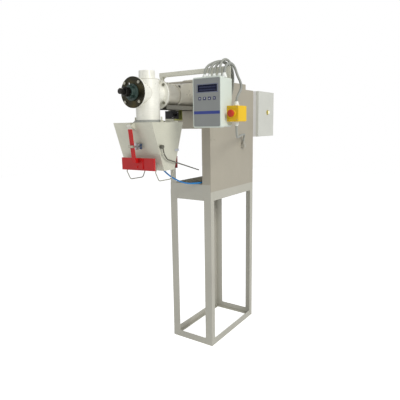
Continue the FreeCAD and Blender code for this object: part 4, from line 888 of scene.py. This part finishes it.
back_places = [(x, STAND_DEPTH, z) for x in (-126, 104) for z in spaced(960, 1450, 6)]
screws("back_panel_screws", back_places, BACK)
top_places = [(x, y, COVER_Z) for x in (-COVER_EDGE_X, COVER_EDGE_X) for y in spaced(14, 388, 5)]
top_places += [(x, y, COVER_STEP_Z) for x in (-COVER_EDGE_X, COVER_EDGE_X) for y in (420, 486)]
screws("top_cover_screws", top_places, UP)
left_places = [(-STAND_HALF, y, z) for y in (12, 488) for z in spaced(1260, 1450, 4)]
screws("left_panel_screws", left_places, LEFT)
screws("right_panel_screws", [(STAND_HALF, y, 1184) for y in (6, 38)], RIGHT)
screws("front_panel_screws", [(-COVER_EDGE_X, 0, z) for z in spaced(1256, 1486, 4)], FORWARD)
screws("stop_lid_screws", [(x, LID_FACE_Y, z) for x in (407, 450) for z in (1282, 1336)], FORWARD,
       small_screw)
screws("case_back_screws", [(x, CASE_BACK_Y, z) for x in (270, 392) for z in (1262, 1276)], BACK,
       small_screw)
screws("arm_plate_bolts", [(x, ARM_PLATE_Y, 1506) for x in (300, 360)], BACK, small_screw)
cell_places = [(CELL_SIDE_X, y, 1303) for y in (-172, -165)]
cell_places += [(CELL_SIDE_X, y, 1328) for y in (-129, -122)]
screws("load_cell_screws", cell_places, RIGHT, small_screw, bright_steel)
screws("cabinet_back_screws", [(*CABINET_BACK, z) for z in (1222, 1430)], BACK, small_screw)

# %% [markdown]
# ## Gland nuts and air fittings
# A gland nut is a cone with sixteen flutes, which a bump on a smooth cone would hint at but
# not cut into the outline, so real ribs stand round it. The push-in fittings, end rings and
# plugs are turned pieces, set at the ports of the cylinders and of the valve. The shaft's
# centre and key are on the auger's body, because they turn with it.

# %% Glands, ports and the shaft's end
FLUTES = 16
NUT_R = 8.5
CONDUIT_NUT_R = 9.0
GLAND_Y = -281
GLAND_Z = 1473.5
STOP_GLAND = (428.5, -240)
ELBOW_GLAND = (149.5, 354, 1156.5)
CYLINDER_Z = 1169
PORT_Z = (CYLINDER_Z - 6.5, CYLINDER_Z + 6.5)
VALVE_AT = (140, 961)
SHAFT_END_Y = -520


def gland_ribs(name, places, turn, reach=NUT_R):
    ring_of(name, rib, FLUTES, reach, places, turn, gland_plastic)


def air_fittings(name, places, turn, shape=fitting):
    strew(name, shape, places, turn, fitting_blue)


top_glands = [(x, GLAND_Y, GLAND_Z) for x in (290, 316, 341, 368)] + [ELBOW_GLAND]
gland_ribs("gland_ribs_top", top_glands, UP)
gland_ribs("gland_ribs_entry", [(110, -10.5, z) for z in (1440, 1408, 1376, 1344)], FORWARD)
gland_ribs("gland_ribs_below", [(*STOP_GLAND, 1264.5)], DOWN)
gland_ribs("gland_ribs_conduit", [(391, GLAND_Y, GLAND_Z), (*STOP_GLAND, 1353.5)], UP, CONDUIT_NUT_R)
air_fittings("rear_air_fittings", [(-24, -239, z) for z in PORT_Z], LEFT)
air_fittings("front_air_fittings", [(24, -424, z) for z in PORT_Z], RIGHT)
air_fittings("front_port_plugs", [(29, -424, z) for z in PORT_Z], RIGHT, plug)
air_fittings("valve_air_fittings", [(x, *VALVE_AT) for x in (110, 124)], FORWARD)
front_rings = [(0, y, CYLINDER_Z) for y in (-431, -421)]
strew("cylinder_rings_front", end_ring, front_rings, BACK, bolt_steel)
rear_rings = [(0, y, CYLINDER_Z) for y in (-232, -242)]
strew("cylinder_rings_rear", end_ring, rear_rings, FORWARD, bolt_steel)
strew("grease_nipple", nipple, [(0, -454, 1447)], UP, bright_steel)
shaft_end = [(0, SHAFT_END_Y, AXIS_Z)]
strew("shaft_centre", centre_dot, shaft_end, FORWARD, cell_black, "auger_drive")
key_outline = rounded(-3, 3, AXIS_Z + 10, AXIS_Z + 14, 0.4)
shaft_key = plate("shaft_key", [key_outline], SHAFT_END_Y + 2, SHAFT_END_Y + 23)
dress(shaft_key, bolt_steel, "auger_drive")
for shape in shapes:
    bpy.data.objects.remove(shape)

# %% [markdown]
# ## The controller's face
# A printed film covers the face: four dark keys with plain white signs, a dark stripe, and a
# window through which the display shows two rows of dark character cells. A picture could be
# wrapped on, but thin plates keep every edge crisp, however near the camera comes.

# %% Keys, stripe and display cells
FILM_Y = -330.8
DISPLAY_Y = -329.75
KEY_X = (296, 321, 346, 371)
KEY_Z = 1375
KEY_HALF = 6.6
SIGN_HALF = 3.4
BAR_HALF = 1.0
ARROW = 3.0
LINE = 1.2
WINDOW_X = (281, 387)
WINDOW_Z = (1401.8, 1434.2)


def arrow(x, z, size, way):
    """Triangle that points along way, (dx, dz)."""
    dx, dz = way
    return [(x + size * dx, z + size * dz), (x - size * (dx + dz), z - size * (dz - dx)),
            (x - size * (dx - dz), z - size * (dz + dx))]


def box_round(x, z, half_x, half_z, corner):
    """Outline of a small rectangle round its middle."""
    return rounded(x - half_x, x + half_x, z - half_z, z + half_z, corner)


caps = [box_round(x, KEY_Z, KEY_HALF, KEY_HALF, 1.6) for x in KEY_X]
dress(plate("key_caps", caps, FILM_Y - 1.2, FILM_Y - 0.1), key_blue)
signs = [arrow(x, KEY_Z, ARROW, way) for x, way in zip(KEY_X, ((-1, 0), (0, -1), (0, 1)))]
signs.append(box_round(KEY_X[3], KEY_Z, SIGN_HALF, BAR_HALF, 0.4))
dress(plate("key_signs", signs, FILM_Y - 1.4, FILM_Y - 1.1), print_white)
stripe = plate("face_stripe", [rounded(264, 398, 1309, 1322, 0.6)], FILM_Y - 0.25, FILM_Y + 0.1)
dress(stripe, film_blue)
left_x, right_x = WINDOW_X
low_z, high_z = WINDOW_Z
frame_lines = [rounded(left_x, right_x, z, z + LINE, 0.3) for z in (high_z, low_z - LINE)]
frame_lines += [rounded(x, x + LINE, low_z, high_z, 0.3) for x in (left_x, right_x - LINE)]
dress(plate("window_frame", frame_lines, FILM_Y - 0.2, FILM_Y + 0.1), film_blue)
cells = [rounded(x, x + 3.6, z, z + 6.0, 0.3, 1) for z in (1408, 1420) for x in spaced(292, 372, 16)]
dress(plate("display_cells", cells, DISPLAY_Y, DISPLAY_Y + 0.3), cell_blue)
gasket = plate("case_gasket", [rounded(258, 402, 1251, 1465, 9)], -300.5, -299.6)
dress(gasket, seal_rubber)
band = plate("spout_plate", [rounded(118.6, 119.6, 1141.4, 1152.6, 0.2, 1)], SPOUT_Y + 45.4,
             SPOUT_Y + 76.6)
dress(band, alloy)

# %% [markdown]
# ## Weld beads
# A weld bead is a small rippled tube laid along the joint, so the recipe that made the
# corrugated cables makes it too, and no other tool is needed. There are rings round the
# pipes, the saddle where the cross pipe meets the column, and short runs where the stand's
# rails meet its legs.

# %% Bead paths
RIPPLE_DEPTH = 0.3
RIPPLE_STEP = 0.5
LEG_EDGE_X = 92.5
LEG_EDGE_Y = 32
RAIL_LEVELS = ((3, 36), (854, 900))
EAR_EDGES = (-15.5, -11.5, 11.5, 15.5)


def circle(radius, count=48):
    """Ring of pairs round (0, 0), whose last pair is its first again."""
    turns = [2 * math.pi * k / count for k in range(count + 1)]
    return [(radius * math.cos(t), radius * math.sin(t)) for t in turns]


def ring_y(y, radius):
    """Ring round the auger's axis."""
    return [(x, y, AXIS_Z + up) for x, up in circle(radius)]


def ring_z(z, radius):
    """Ring round the column's axis."""
    return [(x, COLUMN_Y + back, z) for x, back in circle(radius)]


def saddle(side):
    """Line where the cross pipe runs into the column, in front (-1) or behind (1)."""
    return [(x, COLUMN_Y + side * math.sqrt(COLUMN_R ** 2 - x ** 2), AXIS_Z + up)
            for x, up in circle(TUBE_R)]


def stand_seams():
    """Joints between rails and legs, on the outer faces of the stand."""
    out = []
    for foot, head in RAIL_LEVELS:
        for side in (-1, 1):
            joints = [(side * LEG_EDGE_X, y) for y in (0, STAND_DEPTH)]
            joints += [(side * STAND_HALF, y) for y in (LEG_EDGE_Y, STAND_DEPTH - LEG_EDGE_Y)]
            out += [[(x, y, foot), (x, y, head)] for x, y in joints]
    return out


def ear_seams():
    """Feet of the clamp's hinge ears on the sloping faces of the spout."""
    return [[(x, SPOUT_Y + side * 105.9, 1246), (x, SPOUT_Y + side * 116.3, 1276)]
            for side in (-1, 1) for x in EAR_EDGES]


def beads(name, lines, radius, finish):
    """Weld beads along a list of drawn lines."""
    data = bpy.data.curves.new(name, "CURVE")
    data.dimensions = "3D"
    for points in lines:
        spline = data.splines.new("POLY")
        spline.points.add(len(points) - 1)
        for control, point in zip(spline.points, points):
            control.co = (*place(*point), 1.0)
    route = add_object(name + "_route", data)
    piece = cook(name, sweep, route, Radius=radius * MM, Groove=radius * RIPPLE_DEPTH * MM,
                 Step=radius * RIPPLE_STEP * MM, Finish=finish)
    return dress(piece, finish)


pipe_lines = [ring_y(y, 51.2) for y in (-421.5, -245.5, -142.5, -125.5)] + [saddle(-1), saddle(1)]
pipe_lines += [ring_z(1479.4, 38.4), ring_z(1475.8, 57.2)]
beads("pipe_welds", pipe_lines, 1.1, weld_steel)
beads("ear_welds", ear_seams(), 1.1, weld_steel)
beads("stand_welds", stand_seams(), 1.0, stand_enamel)
hanger_lines = [[(x, -262, 1278.4), (x, -216, 1278.4)] for x in (45.6, -45.6)]
beads("hanger_welds", hanger_lines, 1.3, weld_steel)
arm_lines = [[(-8, -228, 1467.5), (8, -228, 1467.5)], [(8, -228, 1468), (8, -212, 1468)],
             [(8, -228, 1496), (8, -212, 1496)]]
beads("arm_welds", arm_lines, 1.3, arm_enamel)

# %% [markdown]
# ## Floor and backdrop
# The machine stands on a plain pale floor. A white floor would lose the shadow, and a grey
# one would show in the steel. So the floor is white only to glossy and transmission rays,
# and pale to all others, with a little glow of its own for the camera.

# %% Floor
PALE = (0.93, 0.93, 0.93, 1.0)
WHITE = (1.0, 1.0, 1.0, 1.0)
CAMERA_LIFT = 0.55
FLOOR_HALF = 9.0


def pale_floor():
    g = Graph("pale_floor")
    pale = g.add("ShaderNodeBsdfDiffuse", None, PALE)
    lift = g.add("ShaderNodeEmission", None, WHITE, g.rays("Is Camera Ray") * CAMERA_LIFT)
    shaded = g.add("ShaderNodeAddShader", None, pale, lift)
    glow = g.add("ShaderNodeEmission", None, WHITE, 1.0)
    seen = g.either(g.rays("Is Glossy Ray"), g.rays("Is Transmission Ray"))
    return g.finish(g.add("ShaderNodeMixShader", None, seen, shaded, glow))


def flat_floor(name, half):
    mesh = bpy.data.meshes.new(name)
    corners = [(-half, -half, 0.0), (half, -half, 0.0), (half, half, 0.0), (-half, half, 0.0)]
    mesh.from_pydata(corners, [], [(0, 1, 2, 3)])
    mesh.materials.append(pale_floor())
    floor = add_object(name, mesh)
    print(name, 2 * half, "m wide")


flat_floor("floor", FLOOR_HALF)

# %% [markdown]
# ## World and lamps
# A hall's daylight comes from all round, so the world gives most of the light, and the
# camera sees it as white. A large lamp from the operator's right shapes the form with a soft
# shadow, and a weak one from the left keeps the far sides readable. A sun would be simpler,
# but its shadows are too hard for a hall.

# %% World and lamps
SKY = (0.97, 0.98, 1.0, 1.0)
SKY_STRENGTH = 0.55


def white_world(strength):
    g = Graph("studio", world=True)
    soft = g.add("ShaderNodeBackground", None, SKY, strength)
    white = g.add("ShaderNodeBackground", None, WHITE, 1.0)
    seen = g.either(g.rays("Is Camera Ray"), g.rays("Is Transmission Ray"))
    bpy.context.scene.world = g.finish(g.add("ShaderNodeMixShader", None, seen, soft, white))


def softbox(name, at, aim, size, power, tint=(1.0, 1.0, 1.0)):
    data = bpy.data.lights.new(name, "AREA")
    data.shape = "SQUARE"
    data.size = size
    data.energy = power
    data.color = tint
    lamp = add_object(name, data)
    lamp.location = at
    lamp.rotation_euler = (Vector(aim) - Vector(at)).to_track_quat("-Z", "Y").to_euler()
    print(name, power, "W")


white_world(SKY_STRENGTH)
softbox("key", (3.2, -1.1, 3.0), aim=(0.0, -0.2, 1.1), size=1.6, power=90.0, tint=(1.0, 0.99, 0.96))
softbox("fill", (-2.4, -2.6, 2.2), aim=(0.0, 0.0, 0.9), size=2.2, power=15.0)

# %% [markdown]
# ## Finish
# The view transform is Standard, so that a colour renders about as it is written.

# %% View transform, the last line
bpy.context.scene.view_settings.view_transform = "Standard"
